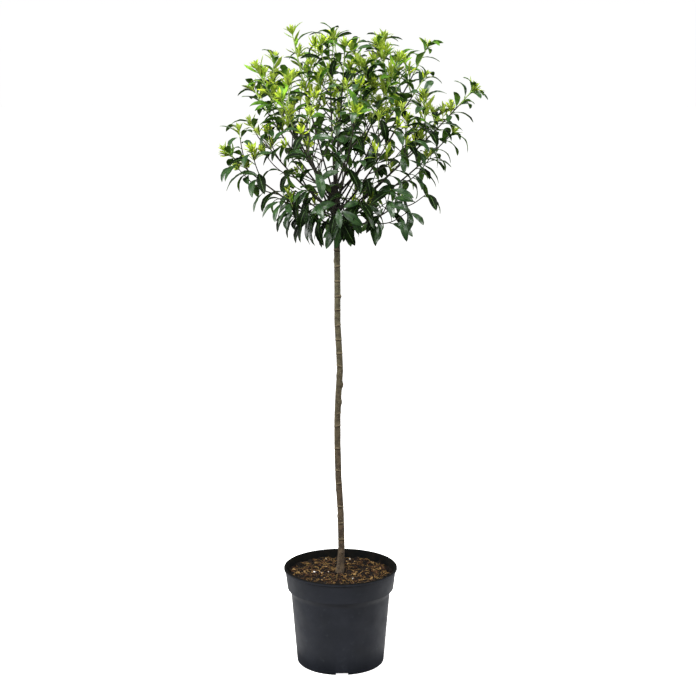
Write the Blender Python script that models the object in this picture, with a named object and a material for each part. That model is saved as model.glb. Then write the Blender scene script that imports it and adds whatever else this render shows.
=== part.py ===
# Potted standard cherry laurel: an open head of leafy shoots on one clear stem, in a nursery pot
# Units are metres, +Z is up, the front faces -Y, and the origin is the middle of the pot's underside.
import math
import random

import bmesh
import bpy
import numpy as np
from mathutils import Vector
from mathutils.bvhtree import BVHTree

# Pot
POT_HEIGHT = 0.227
POT_RIM_RADIUS = 0.130
POT_FOOT_RADIUS = 0.100
POT_WALL = 0.002
POT_BASE = 0.008
POT_SIDES = 40
LIP_HEIGHT = 0.008
LIP_PROUD = 0.0032
COLLAR_TOP_RADIUS = POT_RIM_RADIUS - LIP_PROUD
COLLAR_FOOT_RADIUS = 0.1218
COLLAR_DEPTH = 0.0495
SHOULDER_DEPTH = 0.0115
BODY_TOP_RADIUS = 0.1137
POT_BEVEL = 0.0012
SHOULDER_FOOT_SHARE = 0.42
SHOULDER_FOOT_RISE = 0.0035
SHOULDER_TOP_DROP = 0.004
DRAINS = 3
DRAIN_WIDTH = 0.030
DRAIN_HEIGHT = 0.0065
DRAIN_TURN_DEG = 2.0
DRAIN_REACH = 0.045
DRAIN_BEYOND_FOOT = 0.010

# Growing medium
SOIL_BELOW_RIM = 0.019
SOIL_MOUND = 0.003
SOIL_FLAT_RADIUS = 0.020
SOIL_SLOPE_RADIUS = 0.060
SOIL_SLOPE_SHARE = 0.6

# Every pair of neighbouring solids keeps this gap.
GAP = 0.0003

# Stem, from the soil to its head, as height and sideways drift of its centre
SOIL_TOP = POT_HEIGHT - SOIL_BELOW_RIM + SOIL_MOUND
STEM_FOOT = SOIL_TOP + GAP
STEM_TOP = 1.110
STEM_DRIFT = (
    (STEM_FOOT, -0.0014), (0.272, 0.0022), (0.351, 0.0006), (0.436, -0.0046),
    (0.521, -0.0068), (0.577, -0.0067), (0.632, -0.0044), (0.6875, -0.0007),
    (0.7425, -0.0031), (0.797, -0.0064), (0.879, -0.0063), (0.986, -0.0073),
    (1.059, -0.0083), (STEM_TOP, -0.0150),
)
STEM_SWAY = 0.0035
STEM_SWAYS_PER_METRE = 9.0
STEM_SIDES = 10
STEM_RINGS = 26
STEM_RING_BIAS = 0.9
STEM_RADIUS_LOW = 0.0076
STEM_RADIUS_HIGH = 0.0066
FLARE_RADIUS = 0.0030
FLARE_HEIGHT = 0.016
STEM_TOP_SHARE = 0.72
HEAD_SWELL = 0.0026
HEAD_LOW = 1.006
HEAD_HIGH = 1.098
HEAD_SHARPNESS = 1.8

# Main limbs: where the last young leaf of each one's leading shoot ends
LIMB_TIPS = {
    "left_low": (-0.258, -0.030, 1.190),
    "left_mid": (-0.192, 0.060, 1.225),
    "left_back": (-0.205, 0.135, 1.323),
    "left_high": (-0.185, -0.050, 1.371),
    "tall_left": (-0.108, 0.030, 1.447),
    "top_left": (-0.026, 0.090, 1.427),
    "top_mid": (0.012, -0.060, 1.421),
    "top_right": (0.097, 0.060, 1.436),
    "crest": (0.133, -0.080, 1.392),
    "spur": (0.202, 0.130, 1.414),
    "right_up": (0.192, 0.000, 1.351),
    "right_high": (0.296, -0.050, 1.324),
    "right_mid": (0.262, 0.060, 1.225),
    "right_low": (0.150, -0.070, 1.090),
    "right_back": (0.226, 0.150, 1.245),
    "front_left": (-0.129, -0.160, 1.312),
    "front_low": (-0.080, -0.240, 1.242),
    "front_mid": (0.036, -0.250, 1.287),
    "front_right": (0.125, -0.200, 1.256),
    "back_left": (-0.116, 0.230, 1.283),
    "back_mid": (-0.005, 0.260, 1.310),
    "back_right": (0.120, 0.240, 1.297),
}
LIMB_RADIUS = 0.0036
LIMB_SPLIT_RADIUS = 0.0029
LIMB_BOWS = (0.026, 0.036, 0.016, 0.046)
LIMB_SEARCH = (0.0, 0.005, -0.005, 0.010, -0.010, 0.016, -0.016, 0.024, -0.024, -0.032)
LIMB_CLEARANCE = 0.0080
LIMB_OFFSET = 0.0045
LIMB_POINTS = 9
LIMB_SHORT = 0.030
BARE_SHARE = 0.31
BOUGH_POINTS = 5
BOUGH_SIDES = 5
LEADER_POINTS = 6

# Skirt: short leafy shoots straight from the stem, under the limbs
SKIRT_SHOOTS = 7
SKIRT_REACH = 0.100
SKIRT_RISE = 0.058
SKIRT_FOOT = 1.024
SKIRT_BOW = 0.008
SKIRT_POINTS = 5
SKIRT_TURN_DEG = 24.0
SKIRT_SEARCH_DEG = (0, 6, -6, 12, -12, 18, -18, 24, -24)
SKIRT_LIFTS = (0.0, 0.008, -0.010, 0.016)
SKIRT_CLEARANCE = 0.014
SKIRT_APART = 0.075
SKIRT_RADIUS = 0.0026

# Side shoots
SIDE_SHOOTS = 3
SIDE_FIRST = 0.50
SIDE_LAST = 0.86
SIDE_LENGTH_LOW = 0.105
SIDE_LENGTH_HIGH = 0.070
SIDE_POINTS = 4
SIDE_RADIUS = 0.0018
SIDE_TRIES = 8
SIDE_AHEAD = 0.55
SIDE_OUT = 0.85
SIDE_UP = 0.30
SIDE_CURVE_UP = 0.45
SIDE_ROOT_ZONE = 0.030
SIDE_WANDER = 0.03
SIDE_VARIES = 0.12
TWIG_TIP_RADIUS = 0.0010
TWIG_SIDES = 3
TWIG_CLEARANCE = 0.014

# The dome that no side shoot leaves
CROWN_MIDDLE = (0.012, 0.0, 1.190)
CROWN_HALF = (0.270, 0.265, 0.230)

# Leaves
GOLDEN_TURN = math.radians(137.5)
LEAF_LENGTH = 0.086
LEAF_WIDTH = 0.0250
LEAF_SPACING = 0.0215
LEAF_ROOT_SHARE = 0.25
LEAF_SIZE_RANGE = (0.80, 1.12)
LEAF_OPENING = math.radians(58)
LEAF_ARCH = 0.10
LEAF_ROLL = 0.60
LEAF_FACE_UP = 0.60
LEAF_ROOT_SUNK = 0.0004
LEAF_SPACING_VARIES = 0.15
LEAF_FIRST = 0.015
LEAF_LAST_GAP = 0.006
LEAF_THICKNESS = 0.0020
LEAF_SMALLER_AT_TIP = 0.32
LEAF_STIFFER_AT_TIP = 0.45
LEAF_WIDEST = 0.45
LEAF_TURNS_DEG = (0, 50, -50, 100, -100, 150, -150)
LEAF_TRIMS = (1.0, 0.85)
DROOP_HIGH = 0.45
DROOP_LOW = 1.25
DROOP_FLOOR = 1.00
DROOP_CEILING = 1.36
DROOP_RANGE = (0.7, 1.2)
YOUNG_LENGTH = 0.042
YOUNG_WIDTH = 0.0135
YOUNG_THICKNESS = 0.0014
YOUNG_LEAVES = 3
YOUNG_TRIES = 3
YOUNG_SUNK = 0.0030
YOUNG_STAGGER = 0.0040
YOUNG_OPENING = math.radians(26)
YOUNG_OPENING_RANGE = (0.6, 1.3)
YOUNG_LENGTH_RANGE = (0.80, 1.15)
YOUNG_FAN = 0.5
YOUNG_UP = 0.25
SPACE_MARGIN = 0.0044
LIMB_MARGIN = 0.0037
JOINT_ZONE = 0.006
SKELETON_STEP = 0.006
FINE_STEP = 0.004
LEAVES_FLOOR = 0.90
SEED = 12

UP = np.array((0.0, 0.0, 1.0))


# Scene helpers
def clear_scene():
    for obj in list(bpy.data.objects):
        bpy.data.objects.remove(obj)


def surface(name, colour, roughness):
    material = bpy.data.materials.new(name)
    material.use_nodes = True
    shader = material.node_tree.nodes["Principled BSDF"]
    shader.inputs["Base Color"].default_value = (*colour, 1.0)
    shader.inputs["Roughness"].default_value = roughness
    return material


def mesh_object(name, vertices, faces, material=None):
    mesh = bpy.data.meshes.new(name)
    mesh.from_pydata([tuple(v) for v in vertices], [], faces)
    obj = bpy.data.objects.new(name, mesh)
    bpy.context.scene.collection.objects.link(obj)
    if material:
        mesh.materials.append(material)
    return obj


def apply_modifiers(obj):
    graph = bpy.context.evaluated_depsgraph_get()
    made = bpy.data.meshes.new_from_object(obj.evaluated_get(graph))
    obj.modifiers.clear()
    obj.data = made


def hide_as_cutter(obj):
    obj.hide_render = True
    obj.display_type = "WIRE"


def cut(obj, cutter, name):
    modifier = obj.modifiers.new(name, "BOOLEAN")
    modifier.operation = "DIFFERENCE"
    modifier.object = cutter


# Turned and swept shapes
def turned(name, profile, sides, material):
    """A closed outline in radius and height, spun round +Z."""
    form = bmesh.new()
    ring = [form.verts.new((radius, 0.0, height)) for radius, height in profile]
    edges = [form.edges.new(pair) for pair in zip(ring, ring[1:])]
    bmesh.ops.spin(
        form, geom=ring + edges, cent=(0, 0, 0), axis=(0, 0, 1), dvec=(0, 0, 0),
        angle=math.tau, steps=sides, use_merge=True, use_duplicate=False,
    )
    bmesh.ops.remove_doubles(form, verts=form.verts, dist=1e-6)
    bmesh.ops.recalc_face_normals(form, faces=form.faces)
    mesh = bpy.data.meshes.new(name)
    form.to_mesh(mesh)
    form.free()
    obj = bpy.data.objects.new(name, mesh)
    bpy.context.scene.collection.objects.link(obj)
    mesh.materials.append(material)
    mesh.shade_smooth()
    mesh.set_sharp_from_angle(angle=math.radians(35))
    return obj


def unit(vector):
    return vector / max(np.linalg.norm(vector), 1e-9)


def ring_frames(points):
    """At each point of a path, two directions across it that don't twist along the way."""
    ahead = np.gradient(points, axis=0)
    ahead = ahead / np.linalg.norm(ahead, axis=1)[:, None]
    side = np.cross(ahead[0], (0.0, 1.0, 0.0) if abs(ahead[0][1]) < 0.9 else (1.0, 0.0, 0.0))
    frames = []
    for direction in ahead:
        side = unit(side - direction * (side @ direction))
        frames.append((side, np.cross(direction, side)))
    return frames


def tube_faces(rings, sides):
    """Faces that close a stack of rings: the two ends and the bands between."""
    faces = [tuple(reversed(range(sides)))]
    for ring in range(rings - 1):
        low = ring * sides
        for k in range(sides):
            after = (k + 1) % sides
            faces.append((low + k, low + after, low + sides + after, low + sides + k))
    last = (rings - 1) * sides
    faces.append(tuple(range(last, last + sides)))
    return faces


def swept(points, radii, sides):
    """A closed tube round a path, with flat ends."""
    vertices = []
    for point, radius, (side, across_it) in zip(points, radii, ring_frames(points)):
        for k in range(sides):
            turn = math.tau * k / sides
            vertices.append(point + radius * (math.cos(turn) * side + math.sin(turn) * across_it))
    return vertices, tube_faces(len(points), sides)


# Pot and growing medium
def body_radius(height):
    """Outside radius of the pot's plain lower wall."""
    share = height / (POT_HEIGHT - COLLAR_DEPTH - SHOULDER_DEPTH)
    return POT_FOOT_RADIUS + (BODY_TOP_RADIUS - POT_FOOT_RADIUS) * share


def pot_heights():
    collar_foot = POT_HEIGHT - COLLAR_DEPTH
    return collar_foot - SHOULDER_DEPTH, collar_foot, POT_HEIGHT - LIP_HEIGHT


def make_pot(material):
    body_top, collar_foot, lip_foot = pot_heights()
    shoulder_foot = BODY_TOP_RADIUS + SHOULDER_FOOT_SHARE * (COLLAR_FOOT_RADIUS - BODY_TOP_RADIUS)
    outside = [
        (0.0, 0.0),
        (POT_FOOT_RADIUS - POT_BEVEL, 0.0),
        (POT_FOOT_RADIUS, POT_BEVEL),
        (BODY_TOP_RADIUS, body_top),
        (shoulder_foot, body_top + SHOULDER_FOOT_RISE),
        (COLLAR_FOOT_RADIUS - POT_BEVEL, collar_foot - SHOULDER_TOP_DROP),
        (COLLAR_FOOT_RADIUS, collar_foot),
        (COLLAR_TOP_RADIUS, lip_foot),
        (POT_RIM_RADIUS, lip_foot + POT_BEVEL),
        (POT_RIM_RADIUS, POT_HEIGHT - POT_BEVEL),
        (POT_RIM_RADIUS - POT_BEVEL, POT_HEIGHT),
    ]
    inside = [
        (COLLAR_TOP_RADIUS - POT_WALL + POT_BEVEL, POT_HEIGHT),
        (COLLAR_TOP_RADIUS - POT_WALL, POT_HEIGHT - POT_BEVEL),
        (COLLAR_FOOT_RADIUS - POT_WALL, collar_foot),
        (BODY_TOP_RADIUS - POT_WALL, body_top),
        (body_radius(POT_BASE) - POT_WALL, POT_BASE),
        (0.0, POT_BASE),
    ]
    pot = turned("pot", outside + inside, POT_SIDES, material)
    for drain in range(DRAINS):
        turn = math.tau * drain / DRAINS - math.pi / 2 + math.radians(DRAIN_TURN_DEG)
        middle = POT_FOOT_RADIUS - (DRAIN_REACH - DRAIN_BEYOND_FOOT) / 2
        reach = DRAIN_REACH + DRAIN_BEYOND_FOOT
        bpy.ops.mesh.primitive_cube_add(size=1.0)
        cutter = bpy.context.object
        cutter.name = f"drain_cutter_{drain}"
        cutter.location = (middle * math.cos(turn), middle * math.sin(turn), 0.0)
        cutter.rotation_euler = (0.0, 0.0, turn)
        cutter.scale = (reach, DRAIN_WIDTH, 2 * DRAIN_HEIGHT)
        hide_as_cutter(cutter)
        cut(pot, cutter, f"drain {drain}")
    return pot


def make_soil(material):
    body_top, collar_foot, _ = pot_heights()
    inset = POT_WALL + 2 * GAP
    edge = POT_HEIGHT - SOIL_BELOW_RIM
    rise = (edge - collar_foot) / (POT_HEIGHT - LIP_HEIGHT - collar_foot)
    edge_radius = COLLAR_FOOT_RADIUS + (COLLAR_TOP_RADIUS - COLLAR_FOOT_RADIUS) * rise
    profile = [
        (0.0, POT_BASE + GAP),
        (body_radius(POT_BASE) - inset, POT_BASE + GAP),
        (BODY_TOP_RADIUS - inset, body_top),
        (COLLAR_FOOT_RADIUS - inset, collar_foot),
        (edge_radius - inset, edge),
        (SOIL_SLOPE_RADIUS, edge + SOIL_MOUND * SOIL_SLOPE_SHARE),
        (SOIL_FLAT_RADIUS, SOIL_TOP),
        (0.0, SOIL_TOP),
    ]
    return turned("soil", profile, POT_SIDES, material)


# Stem
def stem_centre(height):
    heights, drift = zip(*STEM_DRIFT)
    sway = STEM_SWAY * math.sin((height - STEM_FOOT) * STEM_SWAYS_PER_METRE)
    return np.array((np.interp(height, heights, drift), sway, height))


def stem_radius(height):
    share = (height - STEM_FOOT) / (STEM_TOP - STEM_FOOT)
    radius = STEM_RADIUS_LOW + (STEM_RADIUS_HIGH - STEM_RADIUS_LOW) * share
    radius += FLARE_RADIUS * math.exp(-(height - STEM_FOOT) / FLARE_HEIGHT)
    head = (height - (HEAD_LOW + HEAD_HIGH) / 2) / (HEAD_HIGH - HEAD_LOW)
    return radius + HEAD_SWELL * math.exp(-(head * HEAD_SHARPNESS) ** 2)


def stem_tube(extra):
    """The stem as level rings, with extra added to its radius and its top; its foot and its top are flat."""
    lift = np.linspace(0.0, 1.0, STEM_RINGS) ** STEM_RING_BIAS
    heights = STEM_FOOT + (STEM_TOP - STEM_FOOT) * lift
    vertices = []
    for ring, height in enumerate(heights):
        top = ring == STEM_RINGS - 1
        radius = (stem_radius(height) + extra) * (STEM_TOP_SHARE if top else 1.0)
        middle = stem_centre(height) + UP * (extra if top else 0.0)
        for k in range(STEM_SIDES):
            turn = math.tau * k / STEM_SIDES
            vertices.append(middle + radius * np.array((math.cos(turn), math.sin(turn), 0.0)))
    return vertices, tube_faces(STEM_RINGS, STEM_SIDES)


def make_trunk(material):
    return mesh_object("trunk", *stem_tube(0.0), material)


def make_stem_cutter():
    cutter = mesh_object("stem_clearance", *stem_tube(GAP))
    hide_as_cutter(cutter)
    return cutter


# Skeleton: limbs, skirt shoots and side shoots as paths
def curve(start, middle, end, count):
    """A smooth path that leaves start for middle and turns toward end."""
    share = np.linspace(0.0, 1.0, count)[:, None]
    return (1 - share) ** 2 * start + 2 * share * (1 - share) * middle + share**2 * end


def bowed(start, end, bow, count):
    """A path that leaves start low and turns upward to end."""
    return curve(start, (start + end) / 2 - UP * bow, end, count)


def distances(points, others):
    """How far each point is from the nearest of the others."""
    return np.linalg.norm(points[:, None] - others[None], axis=2).min(axis=1)


def path_gap(first, second):
    return distances(first, second).min()


def stem_line(low):
    """Points up the middle of the stem, from that height."""
    return np.array([stem_centre(height) for height in np.arange(low, STEM_TOP, FINE_STEP)])


def dense(path, step=SKELETON_STEP):
    """Points along a path, a step apart at most."""
    made = [path[:1]]
    for low, high in zip(path, path[1:]):
        count = max(1, math.ceil(np.linalg.norm(high - low) / step))
        made.append(low + (high - low) * np.linspace(0, 1, count + 1)[1:, None])
    return np.concatenate(made)


def outside_stem(points):
    """Those of the points where a limb round them would show beyond the stem's surface."""
    away = distances(points, stem_line(HEAD_LOW))
    beside = away > STEM_RADIUS_HIGH - LIMB_RADIUS / 2
    above = points[:, 2] > STEM_TOP - LIMB_RADIUS
    return points[beside | above]


def limb_paths():
    """Each limb from the stem's centre to its tip: the flattest start lowest, each clear of the others."""

    def steepness(name):
        x, y, z = LIMB_TIPS[name]
        return (z - HEAD_LOW) / math.hypot(x, y)

    ordered = sorted(LIMB_TIPS, key=steepness)
    outer, paths = {}, {}
    for rank, name in enumerate(ordered):
        ranked = HEAD_LOW + (HEAD_HIGH - HEAD_LOW) * rank / (len(ordered) - 1)
        tip = np.array(LIMB_TIPS[name])
        best = None
        for step, bow in ((a, b) for a in LIMB_SEARCH for b in LIMB_BOWS):
            height = min(max(ranked + step, HEAD_LOW), HEAD_HIGH)
            aim = unit((tip - stem_centre(height)) * (1.0, 1.0, 0.0))
            start = stem_centre(height) + aim * LIMB_OFFSET
            end = tip - LIMB_SHORT * unit((tip - start) / 2 + UP * bow)
            path = bowed(start, end, bow, LIMB_POINTS)
            points = outside_stem(dense(path, FINE_STEP))
            room = min([path_gap(points, other) for other in outer.values()], default=1.0)
            if best is None or room > best[0]:
                best = (room, path, points)
            if room > LIMB_CLEARANCE:
                break
        _, paths[name], outer[name] = best
        print(f"limb {name}: {1000 * best[0]:.1f} mm of room")
    return paths


def split_path(path, share, gap):
    """The path up to that share of its length, and the rest after a gap."""
    steps = np.linalg.norm(np.diff(path, axis=0), axis=1)
    along = np.concatenate(([0.0], np.cumsum(steps)))
    length = along[-1]

    def piece(low, high, count):
        marks = np.linspace(low, high, count)
        return np.stack([np.interp(marks, along, path[:, axis]) for axis in range(3)], axis=1)

    end = share * length
    return piece(0.0, end, BOUGH_POINTS), piece(end + gap, length, LEADER_POINTS)


def skirt_path(turn, foot):
    start = stem_centre(foot)
    out = np.array((math.cos(turn), math.sin(turn), 0.0)) * SKIRT_REACH
    return bowed(start, start + out + UP * SKIRT_RISE, SKIRT_BOW, SKIRT_POINTS)


def skirt_paths(limbs):
    """Short shoots spaced evenly round the stem, each turned a little to pass clear of the limbs."""
    paths, tips = {}, []
    limb_points = outside_stem(np.concatenate([dense(path) for path in limbs.values()]))
    for k in range(SKIRT_SHOOTS):
        even = math.radians(SKIRT_TURN_DEG) + math.tau * k / SKIRT_SHOOTS
        best = None
        for lift, shift in ((a, b) for a in SKIRT_LIFTS for b in SKIRT_SEARCH_DEG):
            path = skirt_path(even + math.radians(shift), SKIRT_FOOT + lift)
            room = path_gap(dense(path)[2:], limb_points)
            crowd = min((np.linalg.norm(path[-1] - tip) for tip in tips), default=1.0)
            room = min(room, crowd * SKIRT_CLEARANCE / SKIRT_APART)
            if best is None or room > best[0]:
                best = (room, path)
            if room > SKIRT_CLEARANCE:
                break
        paths[f"skirt_{k + 1}"] = best[1]
        tips.append(best[1][-1])
        print(f"skirt {k + 1}: {1000 * best[0]:.1f} mm of room")
    return paths


def tangent(path, share):
    marks = np.linspace(0.0, 1.0, len(path))
    ahead = np.gradient(path, axis=0)
    return unit(np.array([np.interp(share, marks, ahead[:, axis]) for axis in range(3)]))


def point_on(path, share):
    marks = np.linspace(0.0, 1.0, len(path))
    return np.array([np.interp(share, marks, path[:, axis]) for axis in range(3)])


def across(direction, turn):
    """A unit vector at right angles to direction, at that turn round it from the upper side."""
    side = unit(np.cross(direction, UP) + np.array((1e-6, 0.0, 0.0)))
    over = np.cross(side, direction)
    return math.cos(turn) * over + math.sin(turn) * side


def inside_crown(point):
    away = (point - np.array(CROWN_MIDDLE)) / np.array(CROWN_HALF)
    return away @ away < 1.0


def side_path(path, share, turn, length):
    start = point_on(path, share)
    ahead = tangent(path, share)
    heading = unit(SIDE_AHEAD * ahead + SIDE_OUT * across(ahead, turn) + SIDE_UP * UP)
    end = start + length * unit(heading + SIDE_CURVE_UP * UP)
    return curve(start, start + length / 2 * heading, end, SIDE_POINTS)


def side_count(name):
    return 1 if name.startswith("skirt") else SIDE_SHOOTS


def grow_side_shoots(stems, limbs):
    """Adds side shoots in rounds, each turned to where the crown is emptiest."""
    shoots = {name: [path] for name, path in stems.items()}
    taken = {name: dense(path) for name, path in stems.items()}
    for round_number in range(SIDE_SHOOTS):
        for name, path in stems.items():
            count = side_count(name)
            if round_number >= count:
                continue
            chance = random.Random(f"{SEED} {name} side {round_number}")
            step = (SIDE_LAST - SIDE_FIRST) / max(count - 1, 1)
            whole = SIDE_FIRST + step * round_number + chance.uniform(-SIDE_WANDER, SIDE_WANDER)
            share = (whole - BARE_SHARE) / (1 - BARE_SHARE)
            length = SIDE_LENGTH_LOW + (SIDE_LENGTH_HIGH - SIDE_LENGTH_LOW) * share
            length *= chance.uniform(1 - SIDE_VARIES, 1 + SIDE_VARIES)
            first_turn = chance.uniform(0.0, math.tau)
            others = [points for other, points in taken.items() if other != name]
            others += [dense(limb) for limb in limbs.values()]
            others = np.concatenate(others)
            best = None
            for attempt in range(SIDE_TRIES):
                shoot = side_path(path, share, first_turn + math.tau * attempt / SIDE_TRIES, length)
                if not inside_crown(shoot[-1]):
                    continue
                outer = dense(shoot)[2:]
                away = np.linalg.norm(taken[name] - shoot[0], axis=1)
                gap = path_gap(outer, others)
                room = min(gap, path_gap(outer[-3:], taken[name][away > SIDE_ROOT_ZONE]))
                if gap > TWIG_CLEARANCE and (best is None or room > best[0]):
                    best = (room, shoot)
            if best:
                shoots[name].append(best[1])
                taken[name] = np.concatenate((taken[name], dense(best[1])))
    return shoots, taken


# Leaves
def blade_corners(root, along, face, length, width, thickness):
    """Root, tip, two edges and the ridge over the midrib: a blade of six faces that arches down."""
    sideways = np.cross(along, face)
    middle = root + along * length * LEAF_WIDEST + face * length * LEAF_ARCH
    half = sideways * width / 2
    return np.array((
        root, root + along * length, middle + half, middle - half, middle + face * thickness,
    ))


BLADE_FACES = (
    (0, 2, 4), (0, 4, 3), (1, 4, 2), (1, 3, 4), (0, 3, 2), (1, 2, 3),
)


def blade_samples(corners):
    """Points over a blade, close enough together to tell where it lies."""
    root, tip, left, right, ridge = corners
    body = [root + (ridge - root) * share for share in (0.45, 0.8)]
    body += [ridge + (tip - ridge) * share for share in (0.0, 0.25, 0.5, 0.75, 1.0)]
    edges = [left, right]
    for end in (root, tip):
        edges += [(left + end) / 2, (right + end) / 2]
    return np.array(body + edges)


class Space:
    """The room that one mass has: nearer to its own shoots than to any other's, and clear of the limbs."""

    def __init__(self, name, taken, limbs, stems):
        self.own = taken[name]
        self.others = np.concatenate([points for other, points in taken.items() if other != name])
        self.limbs = []
        for other, path in limbs.items():
            points = dense(path)
            away = np.linalg.norm(points - stems[name][0], axis=1) > JOINT_ZONE
            self.limbs.append(points[away if other == name else slice(None)])
        self.limbs = np.concatenate(self.limbs)
        self.stem = stem_line(LEAVES_FLOOR)

    def holds(self, points):
        if (distances(points, self.others) - distances(points, self.own) < SPACE_MARGIN).any():
            return False
        near_limb = distances(points, self.limbs) < LIMB_RADIUS + LIMB_MARGIN
        near_stem = distances(points, self.stem) < STEM_RADIUS_HIGH + HEAD_SWELL + LIMB_MARGIN
        return not (near_limb.any() or near_stem.any())


def droop_at(height):
    share = (height - DROOP_FLOOR) / (DROOP_CEILING - DROOP_FLOOR)
    return DROOP_LOW + (DROOP_HIGH - DROOP_LOW) * min(max(share, 0.0), 1.0)


def mature_blade(path, share, turn, trim, chance):
    ahead = tangent(path, share)
    out = across(ahead, turn)
    start = point_on(path, share)
    heading = math.cos(LEAF_OPENING) * ahead + math.sin(LEAF_OPENING) * out
    droop = droop_at(start[2]) * (1 - LEAF_STIFFER_AT_TIP * share)
    along = unit(heading - UP * droop * chance.uniform(*DROOP_RANGE))
    face = ahead + LEAF_FACE_UP * UP + LEAF_ROLL * across(ahead, chance.uniform(0.0, math.tau))
    face = unit(face - along * (face @ along))
    size = trim * chance.uniform(*LEAF_SIZE_RANGE) * (1 - LEAF_SMALLER_AT_TIP * share)
    root = start - along * LEAF_ROOT_SUNK
    return blade_corners(
        root, along, face, LEAF_LENGTH * size, LEAF_WIDTH * size, LEAF_THICKNESS
    )


def young_blade(path, number, chance):
    ahead = tangent(path, 1.0)
    out = across(ahead, chance.uniform(-YOUNG_FAN, YOUNG_FAN) + number * math.tau / YOUNG_LEAVES)
    opening = YOUNG_OPENING * chance.uniform(*YOUNG_OPENING_RANGE)
    along = unit(math.cos(opening) * ahead + math.sin(opening) * out + YOUNG_UP * UP)
    face = -out
    face = unit(face - along * (face @ along))
    root = path[-1] - ahead * (YOUNG_SUNK + YOUNG_STAGGER * number)
    length = YOUNG_LENGTH * chance.uniform(*YOUNG_LENGTH_RANGE)
    return blade_corners(root, along, face, length, YOUNG_WIDTH, YOUNG_THICKNESS)


def outer_tree(blade):
    """The outer part of a blade, which is what keeps off its neighbours: the roots may meet."""
    corners = [Vector(corner) for corner in blade]
    corners[0] = corners[0].lerp((corners[2] + corners[3]) / 2, LEAF_ROOT_SHARE)
    return BVHTree.FromPolygons(corners, BLADE_FACES)


def tube_tree(path):
    vertices, faces = swept(path, [SIDE_RADIUS] * len(path), TWIG_SIDES)
    return BVHTree.FromPolygons([Vector(vertex) for vertex in vertices], faces)


def leaves_of(name, shoots, space):
    """The blades of one mass: along each shoot by the golden angle, then a few young ones at its tip."""
    blades, trees = [], []
    tubes = [tube_tree(path) for path in shoots]

    def place(blade, number):
        if not space.holds(blade_samples(blade)):
            return False
        tree = outer_tree(blade)
        near = trees + tubes[:number] + tubes[number + 1 :]
        if any(tree.overlap(other) for other in near):
            return False
        blades.append(blade)
        trees.append(tree)
        return True

    for number, path in enumerate(shoots):
        chance = random.Random(f"{SEED} {name} leaves {number}")
        for leaf in range(YOUNG_LEAVES):
            for _ in range(YOUNG_TRIES):
                if place(young_blade(path, leaf, chance), number):
                    break
        length = np.linalg.norm(np.diff(path, axis=0), axis=1).sum()
        mark = LEAF_FIRST
        turn = chance.uniform(0.0, math.tau)
        while mark < length - LEAF_LAST_GAP:
            for trim, shift in ((a, b) for a in LEAF_TRIMS for b in LEAF_TURNS_DEG):
                share, at = mark / length, turn + math.radians(shift)
                if place(mature_blade(path, share, at, trim, chance), number):
                    break
            turn += GOLDEN_TURN
            mark += LEAF_SPACING * chance.uniform(1 - LEAF_SPACING_VARIES, 1 + LEAF_SPACING_VARIES)
    return blades


# Masses and boughs
def island_of(start):
    """Every face that can be reached from this one over shared edges."""
    seen, waiting = {start}, [start]
    while waiting:
        face = waiting.pop()
        for edge in face.edges:
            for other in edge.link_faces:
                if other not in seen:
                    seen.add(other)
                    waiting.append(other)
    return seen


def keep_main_body(obj):
    """Keeps the one largest body: a hollow that joining sealed is filled, and a loose scrap is dropped."""
    form = bmesh.new()
    form.from_mesh(obj.data)
    left = set(form.faces)
    bodies = []
    while left:
        body = island_of(next(iter(left)))
        left -= body
        bodies.append(body)
    bodies.sort(key=len)
    for body in bodies[:-1]:
        print(f"{obj.name}: a loose body of {len(body)} faces is dropped or filled")
        bmesh.ops.delete(form, geom=list(body), context="FACES")
    form.to_mesh(obj.data)
    form.free()


def twig(path, root_radius):
    """A three-sided twig that tapers to the tip of its path."""
    return swept(path, np.linspace(root_radius, TWIG_TIP_RADIUS, len(path)), TWIG_SIDES)


def make_mass(name, shoots, blades, root_radius, material):
    """One closed solid: the shoot that leads the mass, its side shoots and its blades, joined."""
    mass = mesh_object(f"foliage_{name}", *twig(shoots[0], root_radius), material)
    parts = bpy.data.collections.new(f"parts of {name}")
    bpy.context.scene.collection.children.link(parts)
    pieces = [twig(path, SIDE_RADIUS) for path in shoots[1:]]
    pieces += [(corners, BLADE_FACES) for corners in blades]
    for vertices, faces in pieces:
        piece = mesh_object("piece", vertices, faces)
        bpy.context.scene.collection.objects.unlink(piece)
        parts.objects.link(piece)
    join = mass.modifiers.new("join", "BOOLEAN")
    join.operation = "UNION"
    join.operand_type = "COLLECTION"
    join.collection = parts
    join.solver = "MANIFOLD"
    apply_modifiers(mass)
    for piece in list(parts.objects):
        bpy.data.objects.remove(piece)
    bpy.data.collections.remove(parts)
    keep_main_body(mass)
    return mass


def make_bough(name, path, material, stem_cutter):
    radii = np.linspace(LIMB_RADIUS, LIMB_SPLIT_RADIUS, len(path))
    bough = mesh_object(f"bough_{name}", *swept(path, radii, BOUGH_SIDES), material)
    cut(bough, stem_cutter, "clear of stem")
    return bough


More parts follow.
